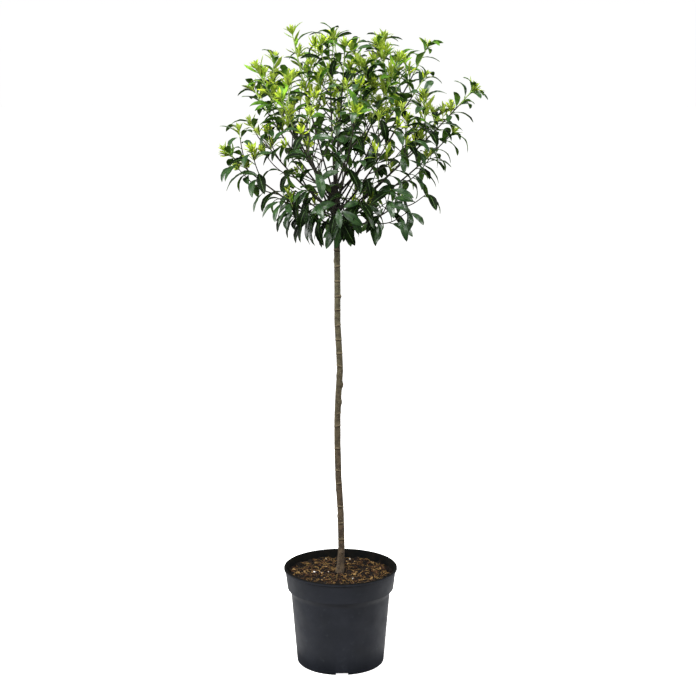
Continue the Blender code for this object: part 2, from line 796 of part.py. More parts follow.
def main():
    clear_scene()
    plastic = surface("black nursery plastic", (0.028, 0.031, 0.036), 0.55)
    peat = surface("peat and bark fines", (0.105, 0.062, 0.040), 0.95)
    bark = surface("young laurel bark", (0.150, 0.125, 0.090), 0.80)
    leaf = surface("laurel leaf", (0.050, 0.130, 0.035), 0.35)

    make_pot(plastic)
    make_soil(peat)
    make_trunk(bark)
    stem_cutter = make_stem_cutter()

    limbs = limb_paths()
    boughs, stems = {}, {}
    for name, path in limbs.items():
        boughs[name], stems[name] = split_path(path, BARE_SHARE, GAP)
    stems.update(skirt_paths(limbs))

    shoots, taken = grow_side_shoots(stems, boughs)
    for name, path in boughs.items():
        make_bough(name, path, bark, stem_cutter)
    total = 0
    for name, own in shoots.items():
        space = Space(name, taken, boughs, stems)
        blades = leaves_of(name, own, space)
        total += len(blades)
        on_stem = name not in boughs
        root_radius = SKIRT_RADIUS if on_stem else LIMB_SPLIT_RADIUS
        mass = make_mass(name, own, blades, root_radius, leaf)
        if on_stem:
            cut(mass, stem_cutter, "clear of stem")
    print(f"{total} leaves on {sum(len(own) for own in shoots.values())} shoots")


main()
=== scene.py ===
# %% [markdown]
# A potted cherry laurel, grown as a standard.
# The solids that carry the plant are loaded as a fixed frame, and this script dresses them. It repeats the
# rule by which the crown grows, carries it on to finer twigs and to leaves of real shape and size, and gives
# every surface the finish of the real one. Units are metres, +Z is up, and the front faces -Y.

# %% Load the frame
import math
import random
from itertools import product
from typing import NamedTuple

import bmesh
import bpy
import numpy as np
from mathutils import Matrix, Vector, noise
from mathutils.bvhtree import BVHTree


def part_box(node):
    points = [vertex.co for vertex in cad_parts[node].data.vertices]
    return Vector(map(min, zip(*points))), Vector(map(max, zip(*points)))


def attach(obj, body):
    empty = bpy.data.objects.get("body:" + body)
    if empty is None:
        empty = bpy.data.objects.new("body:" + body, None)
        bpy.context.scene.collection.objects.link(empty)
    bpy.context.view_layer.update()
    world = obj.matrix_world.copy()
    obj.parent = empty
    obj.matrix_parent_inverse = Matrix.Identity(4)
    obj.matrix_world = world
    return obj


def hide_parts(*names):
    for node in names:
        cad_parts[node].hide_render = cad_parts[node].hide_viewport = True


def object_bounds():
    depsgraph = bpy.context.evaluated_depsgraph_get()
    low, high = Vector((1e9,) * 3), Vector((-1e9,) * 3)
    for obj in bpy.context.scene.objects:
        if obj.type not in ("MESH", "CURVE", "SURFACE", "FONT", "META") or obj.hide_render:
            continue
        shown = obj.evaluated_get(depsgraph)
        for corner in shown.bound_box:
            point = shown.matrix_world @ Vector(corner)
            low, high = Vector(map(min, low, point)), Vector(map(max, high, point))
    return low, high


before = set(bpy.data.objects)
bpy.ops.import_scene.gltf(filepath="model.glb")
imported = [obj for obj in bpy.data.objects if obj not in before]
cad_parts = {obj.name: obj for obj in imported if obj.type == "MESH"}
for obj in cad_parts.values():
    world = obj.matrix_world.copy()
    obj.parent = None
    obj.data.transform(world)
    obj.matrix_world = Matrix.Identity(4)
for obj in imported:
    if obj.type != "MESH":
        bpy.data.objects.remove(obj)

SEED = 12
UP = np.array((0.0, 0.0, 1.0))
CAD_LOW, CAD_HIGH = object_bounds()
print(f"{len(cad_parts)} nodes, {1000 * (CAD_HIGH.z - CAD_LOW.z):.1f} mm tall")

# %% [markdown]
# Camera. The photo was taken from a little above the crown, looking slightly down, with a long lens.
# A camera fitted to the two ellipses of the pot's rim and foot stands 3.6 m in front of the plant.
# Its frame is a square of 696 pixels, which the lens and a sensor 36 mm wide fill.

# %% Camera at the photo's viewing angle
CAMERA_AT = (0.0172, -3.6, 1.439)
CAMERA_PITCH_DEG = 11.02
CAMERA_LENS_MM = 84.6


def in_scene(name, data):
    """A new object in the scene, for that mesh, lamp or camera."""
    made = bpy.data.objects.new(name, data)
    bpy.context.scene.collection.objects.link(made)
    return made


camera = in_scene("camera", bpy.data.cameras.new("camera"))
camera.location = CAMERA_AT
camera.rotation_euler = (math.radians(90 - CAMERA_PITCH_DEG), 0.0, 0.0)
camera.data.lens = CAMERA_LENS_MM
camera.data.sensor_width = 36
camera.data.clip_end = 100
bpy.context.scene.camera = camera
print("camera", tuple(camera.location), "lens", CAMERA_LENS_MM)

# %% [markdown]
# Materials. Colours are written as the hex values that a painter picks on a screen, and one function turns
# them to the linear light that a renderer works in. One more function adds any node with its settings and
# links. A finish keeps its nodes together, so that each one below can be read as a short recipe.


# %% Colour and node helpers
def linear(hex_colour):
    """An sRGB hex colour as linear red, green, blue and alpha."""
    values = [int(hex_colour[k : k + 2], 16) / 255 for k in (1, 3, 5)]
    return (*[v / 12.92 if v <= 0.04045 else ((v + 0.055) / 1.055) ** 2.4 for v in values], 1.0)


def add_node(tree, kind, inputs, **settings):
    """Adds a node. Settings are its own options. Inputs are numbers, hex colours or other nodes' outputs."""
    made = tree.nodes.new(kind)
    for option, value in settings.items():
        setattr(made, option, value)
    for socket, value in inputs.items():
        if isinstance(value, bpy.types.NodeSocket):
            tree.links.new(value, made.inputs[socket])
        else:
            made.inputs[socket].default_value = linear(value) if isinstance(value, str) else value
    return made


# %% Finishes
NOISE_DETAIL = 3.0
# Noise seldom leaves this range, so roughness is spread over it
NOISE_LOW, NOISE_HIGH = 0.3, 0.7
# A Mix node holds one set of sockets for each kind of value. These are its factor and its colour ones.
MIX_FACTOR, MIX_A, MIX_B, MIX_RESULT = 0, 6, 7, 2


class Finish:
    """A material in the making: its node tree, its shader, and where a surface point is on the object."""

    def __init__(self, name, **sockets):
        self.material = bpy.data.materials.new(name)
        self.material.use_nodes = True
        self.tree = self.material.node_tree
        self.shader = self.tree.nodes["Principled BSDF"]
        self.place = add_node(self.tree, "ShaderNodeTexCoord", {}).outputs["Object"]
        for socket, value in sockets.items():
            self.shader.inputs[socket.replace("_", " ")].default_value = value

    def between(self, first, second, value, low, high):
        """The first colour where the value is low, the second where it is high, and mixed in between."""
        limits = {"From Min": low, "From Max": high}
        share = add_node(self.tree, "ShaderNodeMapRange", {"Value": value, **limits})
        inputs = {MIX_FACTOR: share.outputs["Result"], MIX_A: first, MIX_B: second}
        return add_node(self.tree, "ShaderNodeMix", inputs, data_type="RGBA").outputs[MIX_RESULT]

    def mottle(self, first, second, patch_mm, low=0.35, high=0.65):
        """A colour that wanders between two others in patches of that size."""
        inputs = {"Vector": self.place, "Scale": 1000 / patch_mm, "Detail": NOISE_DETAIL}
        patches = add_node(self.tree, "ShaderNodeTexNoise", inputs)
        return self.between(first, second, patches.outputs["Fac"], low, high)

    def paint(self, colour):
        self.tree.links.new(colour, self.shader.inputs["Base Color"])

    def relief(self, grain_mm, depth_mm, strength=1.0):
        """A fine bump over the surface, with grains of that size and depth."""
        inputs = {"Vector": self.place, "Scale": 1000 / grain_mm, "Detail": NOISE_DETAIL}
        grain = add_node(self.tree, "ShaderNodeTexNoise", inputs)
        inputs = {"Height": grain.outputs["Fac"], "Strength": strength, "Distance": depth_mm / 1000}
        bump = add_node(self.tree, "ShaderNodeBump", inputs)
        self.tree.links.new(bump.outputs["Normal"], self.shader.inputs["Normal"])

    def wear(self, grain_mm, smooth, rough):
        """Roughness that wanders between two values, as handling and dust make it do."""
        grain = add_node(self.tree, "ShaderNodeTexNoise", {"Vector": self.place, "Scale": 1000 / grain_mm})
        inputs = {"Value": grain.outputs["Fac"], "From Min": NOISE_LOW, "From Max": NOISE_HIGH}
        share = add_node(self.tree, "ShaderNodeMapRange", {**inputs, "To Min": smooth, "To Max": rough})
        self.tree.links.new(share.outputs["Result"], self.shader.inputs["Roughness"])


def two_tone(name, first, second, patch_mm, grain_mm, depth_mm, strength=1.0, **sockets):
    """A finish that wanders between two colours in patches, with a finer grain in relief."""
    finish = Finish(name, **sockets)
    finish.paint(finish.mottle(first, second, patch_mm))
    finish.relief(grain_mm, depth_mm, strength)
    return finish


# %% [markdown]
# Meshes. Every piece is worked out as points and faces. A piece then rides on the one body of the part,
# and stands for the solids that it replaces.


# %% Mesh helpers
def unit(vector):
    return vector / max(np.linalg.norm(vector), 1e-9)


def between(pair, share):
    return pair[0] + (pair[1] - pair[0]) * share


def mesh_object(name, points, faces, finishes, slots=None, sharp_deg=40):
    """One object from points and faces, smooth but for edges sharper than that angle."""
    mesh = bpy.data.meshes.new(name)
    mesh.from_pydata(points, [], faces)
    for finish in finishes:
        mesh.materials.append(finish)
    if slots is not None:
        mesh.polygons.foreach_set("material_index", np.asarray(slots, dtype=np.int32))
    mesh.shade_smooth()
    mesh.set_sharp_from_angle(angle=math.radians(sharp_deg))
    return in_scene(name, mesh)


def form_object(name, form):
    """One object from a bmesh form, which is used up."""
    mesh = bpy.data.meshes.new(name)
    form.to_mesh(mesh)
    form.free()
    return in_scene(name, mesh)


def stands_for(piece, slot, *nodes):
    """The piece rides on the plant's body and is shown in place of these solids."""
    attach(piece, "root")
    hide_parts(*nodes)
    triangles = sum(len(face.vertices) - 2 for face in piece.data.polygons)
    print(f"{piece.name}: {triangles} triangles for {len(nodes)} nodes")


class Heap:
    """Points and faces of many shapes, gathered to be joined as one mesh."""

    def __init__(self):
        self.points, self.faces, self.slots = [], [], []

    def add(self, points, faces, slot=0):
        start = len(self.points)
        self.points.extend(points)
        self.faces.extend([tuple(start + corner for corner in face) for face in faces])
        self.slots.extend([slot] * len(faces) if isinstance(slot, int) else slot)

    def join(self, name, *finishes, sharp_deg=40):
        return mesh_object(name, self.points, self.faces, finishes, self.slots, sharp_deg)


# %% [markdown]
# Studio. The plant stands on white paper before a white dome, lit by large soft lamps from both sides, from
# the front and from above, with two strips and a weak lamp behind it. The paper glows, so that it stays
# white far away from the lamps. Dome and paper are seen by the camera alone: the lamps and a dim room light
# the plant. A ring of white card lies round the pot, and only glossy surfaces see it, so the black plastic
# gets the paler edges that a bright floor gives it.

# %% Floor, dome and card
FLOOR_RADIUS = 28.0
DOME_RADIUS = 30.0
PAPER_GLOW = 0.97
CARD_RADII = (0.145, 0.60)
CARD_HEIGHT = -0.001
WHITE = linear("#ffffff")


def stage_object(name, form, finish):
    """A part of the studio, which isn't part of the plant."""
    made = form_object(name, form)
    made.data.materials.append(finish.material)
    made.data.shade_smooth()
    return made


paper = Finish("white paper", Roughness=0.9, Emission_Color=WHITE, Emission_Strength=PAPER_GLOW)
paper.paint(paper.mottle("#f4f4f2", "#fafaf8", 40.0))
form = bmesh.new()
bmesh.ops.create_circle(form, cap_ends=True, segments=96, radius=FLOOR_RADIUS)
floor = stage_object("paper_floor", form, paper)

glow = Finish("white dome", Base_Color=linear("#000000"), Emission_Color=WHITE, Emission_Strength=1.0)
form = bmesh.new()
bmesh.ops.create_uvsphere(form, u_segments=48, v_segments=24, radius=DOME_RADIUS)
dome = stage_object("white_dome", form, glow)
form = bmesh.new()
for radius in CARD_RADII:
    bmesh.ops.create_circle(form, segments=96, radius=radius)
bmesh.ops.bridge_loops(form, edges=form.edges[:])
card = stage_object("white_card", form, glow)
card.location.z = CARD_HEIGHT
for backdrop in (floor, dome, card):
    backdrop.visible_diffuse = False
    backdrop.visible_glossy = backdrop == card
    backdrop.visible_camera = backdrop != card
    backdrop.visible_shadow = False

# %% Lamps
CROWN_HEIGHT = 1.15
LAMPS = {
    # name: (place, width, height, watts)
    "left_softbox": ((-2.1, -1.7, 2.5), 1.0, 1.0, 98),
    "right_softbox": ((2.3, -1.4, 2.1), 1.0, 1.0, 50),
    "front_softbox": ((-0.5, -3.2, 2.4), 1.5, 1.0, 30),
    "overhead_softbox": ((-0.2, -0.6, 3.3), 1.2, 1.2, 66),
    "left_strip": ((-1.7, 0.75, 0.95), 0.5, 1.7, 17),
    "right_strip": ((1.7, 0.75, 0.95), 0.5, 1.7, 17),
    "back_softbox": ((0.3, 2.6, 2.4), 1.4, 1.4, 12),
}
WORLD_STRENGTH = 0.09

for name, (place, width, height, watts) in LAMPS.items():
    lamp = in_scene(name, bpy.data.lights.new(name, "AREA"))
    lamp.data.shape = "RECTANGLE"
    lamp.data.size = width
    lamp.data.size_y = height
    lamp.data.energy = watts
    lamp.location = place
    aim = Vector((0.0, 0.0, min(place[2], CROWN_HEIGHT))) - Vector(place)
    lamp.rotation_euler = aim.to_track_quat("-Z", "Y").to_euler()

world = bpy.data.worlds.new("soft room")
world.use_nodes = True
world.node_tree.nodes["Background"].inputs["Color"].default_value = linear("#fbf8f2")
world.node_tree.nodes["Background"].inputs["Strength"].default_value = WORLD_STRENGTH
bpy.context.scene.world = world
bpy.context.scene.view_settings.view_transform = "Standard"
print(f"{len(LAMPS)} lamps")

# %% [markdown]
# Pot. A nursery pot is moulded in one piece from black polypropylene: a plain tapering wall, a rounded
# shoulder, a deep collar with a crisp lower edge that stiffens the top, and a narrow lip. It is a turned
# shape, so its outline is drawn once, with each corner rounded by an arc as a mould needs it, and spun round
# the axis in steps too fine to see. The drains are recesses in the foot, cut with blocks that narrow upward.

# %% Outline of the pot
POT_HEIGHT = round(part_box("pot")[1].z, 4)
RIM_RADIUS = round(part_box("pot")[1].x, 4)
FOOT_RADIUS = 0.100
WALL = 0.002
BASE = 0.008
LIP_FOOT = POT_HEIGHT - 0.008
LIP_PROUD = 0.0032
COLLAR_TOP_RADIUS = RIM_RADIUS - LIP_PROUD
COLLAR_FOOT_RADIUS = 0.1218
COLLAR_FOOT = POT_HEIGHT - 0.0495
# The collar's lower edge stands this far proud of the shoulder under it
COLLAR_PROUD = 0.0014
BODY_TOP_RADIUS = 0.1137
BODY_TOP = COLLAR_FOOT - 0.0115
POT_SIDES = 144


def rounded(corners, steps=5):
    """An outline whose corners are (radius, height, rounding), as points with each rounding an arc."""
    made = []
    for k, (radius, height, rounding) in enumerate(corners):
        here = np.array((radius, height))
        if rounding == 0:
            made.append(here)
            continue
        before = np.array(corners[k - 1][:2]) - here
        after = np.array(corners[k + 1][:2]) - here
        half = math.acos(np.clip(unit(before) @ unit(after), -1, 1)) / 2
        reach = min(rounding / math.tan(half), 0.8 * np.linalg.norm(before), 0.8 * np.linalg.norm(after))
        start, end = here + unit(before) * reach, here + unit(after) * reach
        for share in np.linspace(0, 1, steps + 1):
            made.append((1 - share) ** 2 * start + 2 * share * (1 - share) * here + share**2 * end)
    return made


POT_OUTLINE = rounded([
    (0.0, 0.0, 0),
    (FOOT_RADIUS, 0.0, 0.0050),
    (BODY_TOP_RADIUS, BODY_TOP, 0.0200),
    (COLLAR_FOOT_RADIUS - COLLAR_PROUD, COLLAR_FOOT, 0),
    (COLLAR_FOOT_RADIUS, COLLAR_FOOT, 0.0004),
    (COLLAR_TOP_RADIUS, LIP_FOOT, 0.0012),
    (RIM_RADIUS, LIP_FOOT + 0.0022, 0.0012),
    (RIM_RADIUS, POT_HEIGHT, 0.0026),
    (COLLAR_TOP_RADIUS - WALL, POT_HEIGHT, 0.0016),
    (COLLAR_FOOT_RADIUS - WALL, COLLAR_FOOT, 0.005),
    (BODY_TOP_RADIUS - WALL, BODY_TOP, 0.002),
    (FOOT_RADIUS - WALL, BASE, 0.003),
    (0.0, BASE, 0),
])


def turned(outline, sides):
    """Points and faces of an outline in radius and height, spun round +Z. It starts and ends on the axis."""
    angles = np.arange(sides) * math.tau / sides
    points = [(0.0, 0.0, outline[0][1])]
    for radius, height in outline[1:-1]:
        points += [(radius * math.cos(a), radius * math.sin(a), height) for a in angles]
    points.append((0.0, 0.0, outline[-1][1]))
    last = len(points) - 1
    faces = []
    for k in range(sides):
        after = (k + 1) % sides
        faces.append((0, 1 + after, 1 + k))
        for low in range(1, last - sides, sides):
            faces.append((low + k, low + after, low + sides + after, low + sides + k))
        faces.append((last - sides + k, last - sides + after, last))
    return points, faces


print(f"pot outline: {len(POT_OUTLINE)} points, rim {2000 * RIM_RADIUS:.0f} mm across")

# %% [markdown]
# Black nursery plastic. Recycled polypropylene, injection moulded and coloured with carbon black: a dull
# bluish charcoal with a broad soft gloss. The mould's fine grain, a few tenths of a millimetre, breaks the
# gloss up; here it is drawn at 1.5 mm so that it shows. Handling leaves faint paler scuffs and some dust.
# The inside, the lip's top, the foot's and the collar's lower edges and the drain recesses are painted
# blacker and nearly glossless, as painted shade.

# %% Black nursery plastic
plastic = Finish("moulded black polypropylene", IOR=1.49, Specular_IOR_Level=0.25)
flow = plastic.mottle("#1f2229", "#262931", 45.0)
plastic.paint(plastic.mottle(flow, "#31363c", 11.0, low=0.62, high=0.85))
plastic.wear(30.0, 0.42, 0.56)
plastic.relief(1.5, 0.05, strength=0.5)
# Painted shade: a blacker, nearly glossless copy of the plastic for the inside and the shaded edges
painted_shade_plastic = two_tone(
    "black plastic in painted shade", "#080b0c", "#15130f", 12.0, 2.0, 0.1, Roughness=0.8, Specular_IOR_Level=0.08
)

# %% Pot
DRAINS = 3
DRAIN_WIDTH = 0.033
DRAIN_HEIGHT = 0.007
DRAIN_TOP_SHARE = 0.78
DRAIN_TURN_DEG = 2.0
# A drain's back wall stands this far in from the foot's edge, and its block reaches out past the edge
DRAIN_DEPTH = 0.014
DRAIN_REACH = 0.030
# The lip's upper side, the foot's lower edge and the collar's get the inside's darker finish as painted
# shade, where their faces look up or down by at least this much
EDGE_FACING = 0.35
COLLAR_FACING = 0.70
# The painted shade inside covers the wall's inner face, and the base's upper one with its rounded corner
WALL_ZONE = 0.003
CORNER_ZONE = 0.004


def drain_cutter(turn):
    """A block that narrows upward, across the foot at that turn."""
    form = bmesh.new()
    bmesh.ops.create_cube(form, size=1.0)
    for corner in form.verts:
        upper = corner.co.z > 0
        out = FOOT_RADIUS - DRAIN_DEPTH + (corner.co.x + 0.5) * DRAIN_REACH
        side = corner.co.y * DRAIN_WIDTH * (DRAIN_TOP_SHARE if upper else 1.0)
        x = out * math.cos(turn) - side * math.sin(turn)
        y = out * math.sin(turn) + side * math.cos(turn)
        corner.co = Vector((x, y, DRAIN_HEIGHT if upper else -DRAIN_HEIGHT))
    return form_object("drain_cutter", form)


def cut_away(piece, cutter):
    """Cuts the cutter's shape out of the piece for good, and removes the cutter."""
    modifier = piece.modifiers.new("cut", "BOOLEAN")
    modifier.operation = "DIFFERENCE"
    modifier.object = cutter
    graph = bpy.context.evaluated_depsgraph_get()
    made = bpy.data.meshes.new_from_object(piece.evaluated_get(graph))
    piece.modifiers.clear()
    piece.data = made
    bpy.data.objects.remove(cutter)


pot = mesh_object("nursery_pot", *turned(POT_OUTLINE, POT_SIDES), [plastic.material, painted_shade_plastic.material])
for drain in range(DRAINS):
    cut_away(pot, drain_cutter(math.tau * drain / DRAINS - math.pi / 2 + math.radians(DRAIN_TURN_DEG)))
for face in pot.data.polygons:
    place, facing = face.center, face.normal
    out = math.hypot(place.x, place.y)
    wall = facing.x * place.x + facing.y * place.y < 0 and out > FOOT_RADIUS - WALL_ZONE
    bottom = facing.z > 0.5 and place.z < BASE + CORNER_ZONE
    lip = facing.z > EDGE_FACING and place.z > LIP_FOOT
    foot = facing.z < -EDGE_FACING and place.z < BASE
    collar = facing.z < -COLLAR_FACING and place.z > BASE
    recess = 0.0 < place.z < BASE and out < FOOT_RADIUS - DRAIN_DEPTH / 3
    # Painted shade: these faces take the darker finish, for the shade inside, at the edges and in the drains
    if lip or foot or collar or recess or (wall or bottom) and place.z > BASE - 0.001:
        face.material_index = 1
pot.data.shade_smooth()
pot.data.set_sharp_from_angle(angle=math.radians(50))
stands_for(pot, "pot", "pot")

# %% [markdown]
# Growing medium. Moist peat and composted bark fines with coir fibre, loose on top. Its body is a turned
# plug inside the pot whose upper face is lifted and dented by three sizes of noise. What catches the eye
# are the loose bits, so bark chips, crumbs, splinters of wood, fibres and a few white grains of perlite lie
# on it as real shapes.

# %% Bed of growing medium
SOIL_EDGE_HEIGHT = POT_HEIGHT - 0.019
SOIL_MOUND = 0.003
SOIL_INSET = WALL + 0.0006
SOIL_FOOT = BASE + 0.0003
SOIL_EDGE_SHARE = (SOIL_EDGE_HEIGHT - COLLAR_FOOT) / (LIP_FOOT - COLLAR_FOOT)
SOIL_RADIUS = COLLAR_FOOT_RADIUS + (COLLAR_TOP_RADIUS - COLLAR_FOOT_RADIUS) * SOIL_EDGE_SHARE - SOIL_INSET
# Lumps of the surface as (grain size, height), both in metres
SOIL_LUMPS = ((0.030, 0.0046), (0.012, 0.0042), (0.005, 0.0028))
BED_SIDES = 180
BED_RINGS = 84


def soil_height(x, y):
    """The height of the bed's surface there: a low mound with lumps and dents."""
    out = math.hypot(x, y) / SOIL_RADIUS
    height = SOIL_EDGE_HEIGHT + SOIL_MOUND * (1 - out**2)
    for grain, lift in SOIL_LUMPS:
        height += lift * noise.noise(Vector((x / grain, y / grain, grain * 1000)))
    return height


def make_bed(finish):
    """A turned plug from the middle of its upper face outward and down to its foot, then lifted to lumps."""
    outline = [(radius, SOIL_EDGE_HEIGHT) for radius in SOIL_RADIUS * np.linspace(0.0, 1.0, BED_RINGS + 1)]
    outline += [
        (COLLAR_FOOT_RADIUS - SOIL_INSET, COLLAR_FOOT),
        (BODY_TOP_RADIUS - SOIL_INSET, BODY_TOP),
        (FOOT_RADIUS + 0.0006 - SOIL_INSET, SOIL_FOOT),
        (0.0, SOIL_FOOT),
    ]
    points, faces = turned(outline, BED_SIDES)
    upper = 1 + BED_RINGS * BED_SIDES
    points[:upper] = [(x, y, soil_height(x, y)) for x, y, _ in points[:upper]]
    # The outline runs downward, so each face is turned over to look out
    faces = [(face[0], *face[:0:-1]) for face in faces]
    return mesh_object("soil_bed", points, faces, [finish], sharp_deg=80)


# %% [markdown]
# Peat and bark. Wet peat is nearly black in its dents and warm brown where it has dried. The grain is 2 to
# 5 mm, the size of the crumbs, and the surface is fully matt. Bark chips are redder, coir is straw brown,
# wood splinters are pale, and perlite is expanded volcanic glass, a chalky white froth.


# %% Finishes of the growing medium
def dull_finish(name, first, second, grain_mm, depth_mm, roughness=0.95):
    """A matt crumbly finish that wanders between two browns, with grain of that size and depth."""
    sockets = {"Roughness": roughness, "Specular_IOR_Level": 0.25}
    return two_tone(name, first, second, grain_mm, grain_mm / 2, depth_mm, **sockets).material


PEAT = dull_finish("moist peat", "#060301", "#160c05", 4.0, 0.8)
DRY_BARK = dull_finish("composted bark chips", "#180e07", "#5a3d25", 2.5, 0.4)
DARK_CRUMB = dull_finish("peat crumbs", "#080402", "#1c1209", 2.5, 0.5)
COIR = dull_finish("coir fibre", "#402c12", "#a07e48", 9.0, 0.1, 0.8)
PALE_WOOD = dull_finish("splinters of pale wood", "#523a1c", "#b2905c", 5.0, 0.2, 0.85)
PERLITE = dull_finish("perlite", "#e6e2d8", "#fbfaf6", 1.5, 0.2, 0.85)

stands_for(make_bed(PEAT), "soil", "soil")

# %% Loose bits on the bed
CHIPS = 520
CRUMBS = 1000
SPLINTERS = 110
GRAINS = 13
STEM_CLEAR = 0.012
EDGE_CLEAR = 0.006
CLUMP_SIZE = 0.013
CLUMP_LEAST = 0.05
CLUMP_BLUR = 0.10
# A bit's width as a share of its length, and how far each corner is dented in or pushed out
BIT_WIDTHS = (0.35, 0.8)
BIT_DENTS = (0.72, 1.15)

# A ball of twenty faces: its corners are those of three golden rectangles
GOLDEN = (1 + math.sqrt(5)) / 2
BALL_POINTS = np.array([
    (-1, GOLDEN, 0), (1, GOLDEN, 0), (-1, -GOLDEN, 0), (1, -GOLDEN, 0),
    (0, -1, GOLDEN), (0, 1, GOLDEN), (0, -1, -GOLDEN), (0, 1, -GOLDEN),
    (GOLDEN, 0, -1), (GOLDEN, 0, 1), (-GOLDEN, 0, -1), (-GOLDEN, 0, 1),
]) / math.hypot(1, GOLDEN)
BALL_FACES = (
    (0, 11, 5), (0, 5, 1), (0, 1, 7), (0, 7, 10), (0, 10, 11), (1, 5, 9), (5, 11, 4), (11, 10, 2),
    (10, 7, 6), (7, 1, 8), (3, 9, 4), (3, 4, 2), (3, 2, 6), (3, 6, 8), (3, 8, 9), (4, 9, 5),
    (2, 4, 11), (6, 2, 10), (8, 6, 7), (9, 8, 1),
)


def spot_on_bed(chance, clear, clumped):
    """A place on the bed, clear of the stem and of the pot's wall: anywhere, or only in the clumps."""
    while True:
        out = math.sqrt(chance.uniform(STEM_CLEAR**2, (SOIL_RADIUS - clear) ** 2))
        turn = chance.uniform(0.0, math.tau)
        x, y = out * math.cos(turn), out * math.sin(turn)
        clump = noise.noise(Vector((x / CLUMP_SIZE, y / CLUMP_SIZE, 7.0)))
        if not clumped or clump + chance.uniform(-CLUMP_BLUR, CLUMP_BLUR) > CLUMP_LEAST:
            return np.array((x, y, soil_height(x, y)))


def tilted(chance, most):
    """Three directions at right angles: the first two lie nearly flat, tilted by up to that much."""
    turn = chance.uniform(0.0, math.tau)
    first = unit(np.array((math.cos(turn), math.sin(turn), chance.uniform(-most, most))))
    second = unit(np.cross((chance.uniform(-most, most), chance.uniform(-most, most), 1.0), first))
    return first, second, np.cross(first, second)


def loose_bits(name, count, lengths, flatness, lift, finish, tilt, clumped=True):
    """Irregular bits: each a ball of twenty faces, dented, and squashed to its own length and thickness."""
    chance = random.Random(f"{SEED} {name}")
    heap = Heap()
    for _ in range(count):
        length = chance.uniform(*lengths) / 2
        sizes = (length, length * chance.uniform(*BIT_WIDTHS), length * chance.uniform(*flatness))
        axes = tilted(chance, tilt)
        middle = spot_on_bed(chance, EDGE_CLEAR, clumped) + UP * lift * sizes[2]
        points = []
        for corner in BALL_POINTS:
            dent = chance.uniform(*BIT_DENTS)
            points.append(middle + sum(corner[k] * sizes[k] * dent * axes[k] for k in range(3)))
        heap.add(points, BALL_FACES)
    stands_for(heap.join(name, finish, sharp_deg=25), "soil")


loose_bits("bark_chips", CHIPS, (0.004, 0.012), (0.15, 0.4), 0.9, DRY_BARK, 0.6)
loose_bits("peat_crumbs", CRUMBS, (0.002, 0.006), (0.5, 0.9), 0.2, DARK_CRUMB, 0.9, clumped=False)
loose_bits("wood_splinters", SPLINTERS, (0.005, 0.012), (0.12, 0.30), 1.2, PALE_WOOD, 0.7)
loose_bits("perlite_grains", GRAINS, (0.0028, 0.0052), (0.6, 0.9), 1.5, PERLITE, 0.9)


# %% Paths and tubes
def ring_frames(points):
    """At each point of a path, two directions across it that don't twist along the way."""
    ahead = np.gradient(points, axis=0)
    ahead = ahead / np.linalg.norm(ahead, axis=1)[:, None]
    side = np.cross(ahead[0], (0.0, 1.0, 0.0) if abs(ahead[0][1]) < 0.9 else (1.0, 0.0, 0.0))
    frames = []
    for direction in ahead:
        side = unit(side - direction * (side @ direction))
        frames.append((side, np.cross(direction, side)))
    return frames


def tube_faces(rings, sides):
    """Faces that close a stack of rings: the two ends and the bands between."""
    last = (rings - 1) * sides
    faces = [tuple(reversed(range(sides)))]
    for low, k in product(range(0, last, sides), range(sides)):
        after = (k + 1) % sides
        faces.append((low + k, low + after, low + sides + after, low + sides + k))
    faces.append(tuple(range(last, last + sides)))
    return faces


def swept(points, radii, sides):
    """A closed tube round a path, with flat ends."""
    made = []
    for point, radius, (side, across_it) in zip(points, radii, ring_frames(points)):
        for turn in (math.tau * k / sides for k in range(sides)):
            made.append(point + radius * (math.cos(turn) * side + math.sin(turn) * across_it))
    return made, tube_faces(len(points), sides)


def curve(start, middle, end, count):
    """A smooth path that leaves start for middle and turns toward end."""
    share = np.linspace(0.0, 1.0, count)[:, None]
    return (1 - share) ** 2 * start + 2 * share * (1 - share) * middle + share**2 * end


# %% Coir fibres
FIBRES = 380
FIBRE_LENGTHS = (0.006, 0.022)
FIBRE_RADII = (0.00035, 0.00085)
FIBRE_POINTS = 6
FIBRE_TILT = 0.25
FIBRE_BEND = 0.4
# How far a fibre's root and end keep off the wall, and how high its end and its middle stand up
FIBRE_CLEAR = 0.010
FIBRE_END_CLEAR = 0.004
FIBRE_END_LIFT = 0.002
FIBRE_RISES = (0.0005, 0.007)

chance = random.Random(f"{SEED} fibres")
heap = Heap()
for _ in range(FIBRES):
    start = spot_on_bed(chance, FIBRE_CLEAR, True)
    length = chance.uniform(*FIBRE_LENGTHS)
    first, second, _ = tilted(chance, FIBRE_TILT)
    end = start + first * length
    end *= min(1.0, (SOIL_RADIUS - FIBRE_END_CLEAR) / math.hypot(end[0], end[1]))
    end[2] = soil_height(end[0], end[1]) + chance.uniform(0.0, FIBRE_END_LIFT)
    rise = chance.uniform(*FIBRE_RISES)
    middle = (start + end) / 2 + second * length * chance.uniform(-FIBRE_BEND, FIBRE_BEND) + UP * rise
    radius = chance.uniform(*FIBRE_RADII)
    path = curve(start, middle, end, FIBRE_POINTS)
    heap.add(*swept(path, np.linspace(radius, radius / 2, FIBRE_POINTS), 3))
stands_for(heap.join("coir_fibres", COIR), "soil")

# %% [markdown]
# Skeleton. A standard is budded at the head of a clear stem: about two dozen limbs leave the swollen head,
# the flattest lowest, and bow upward to their tips. Each limb's outer two thirds is a leading shoot with
# side shoots turned to where the crown is emptiest, and a skirt of short shoots grows from the stem below.
# The same seeded rule made the solids, so twigs and leaves that follow it again sit just where they do.

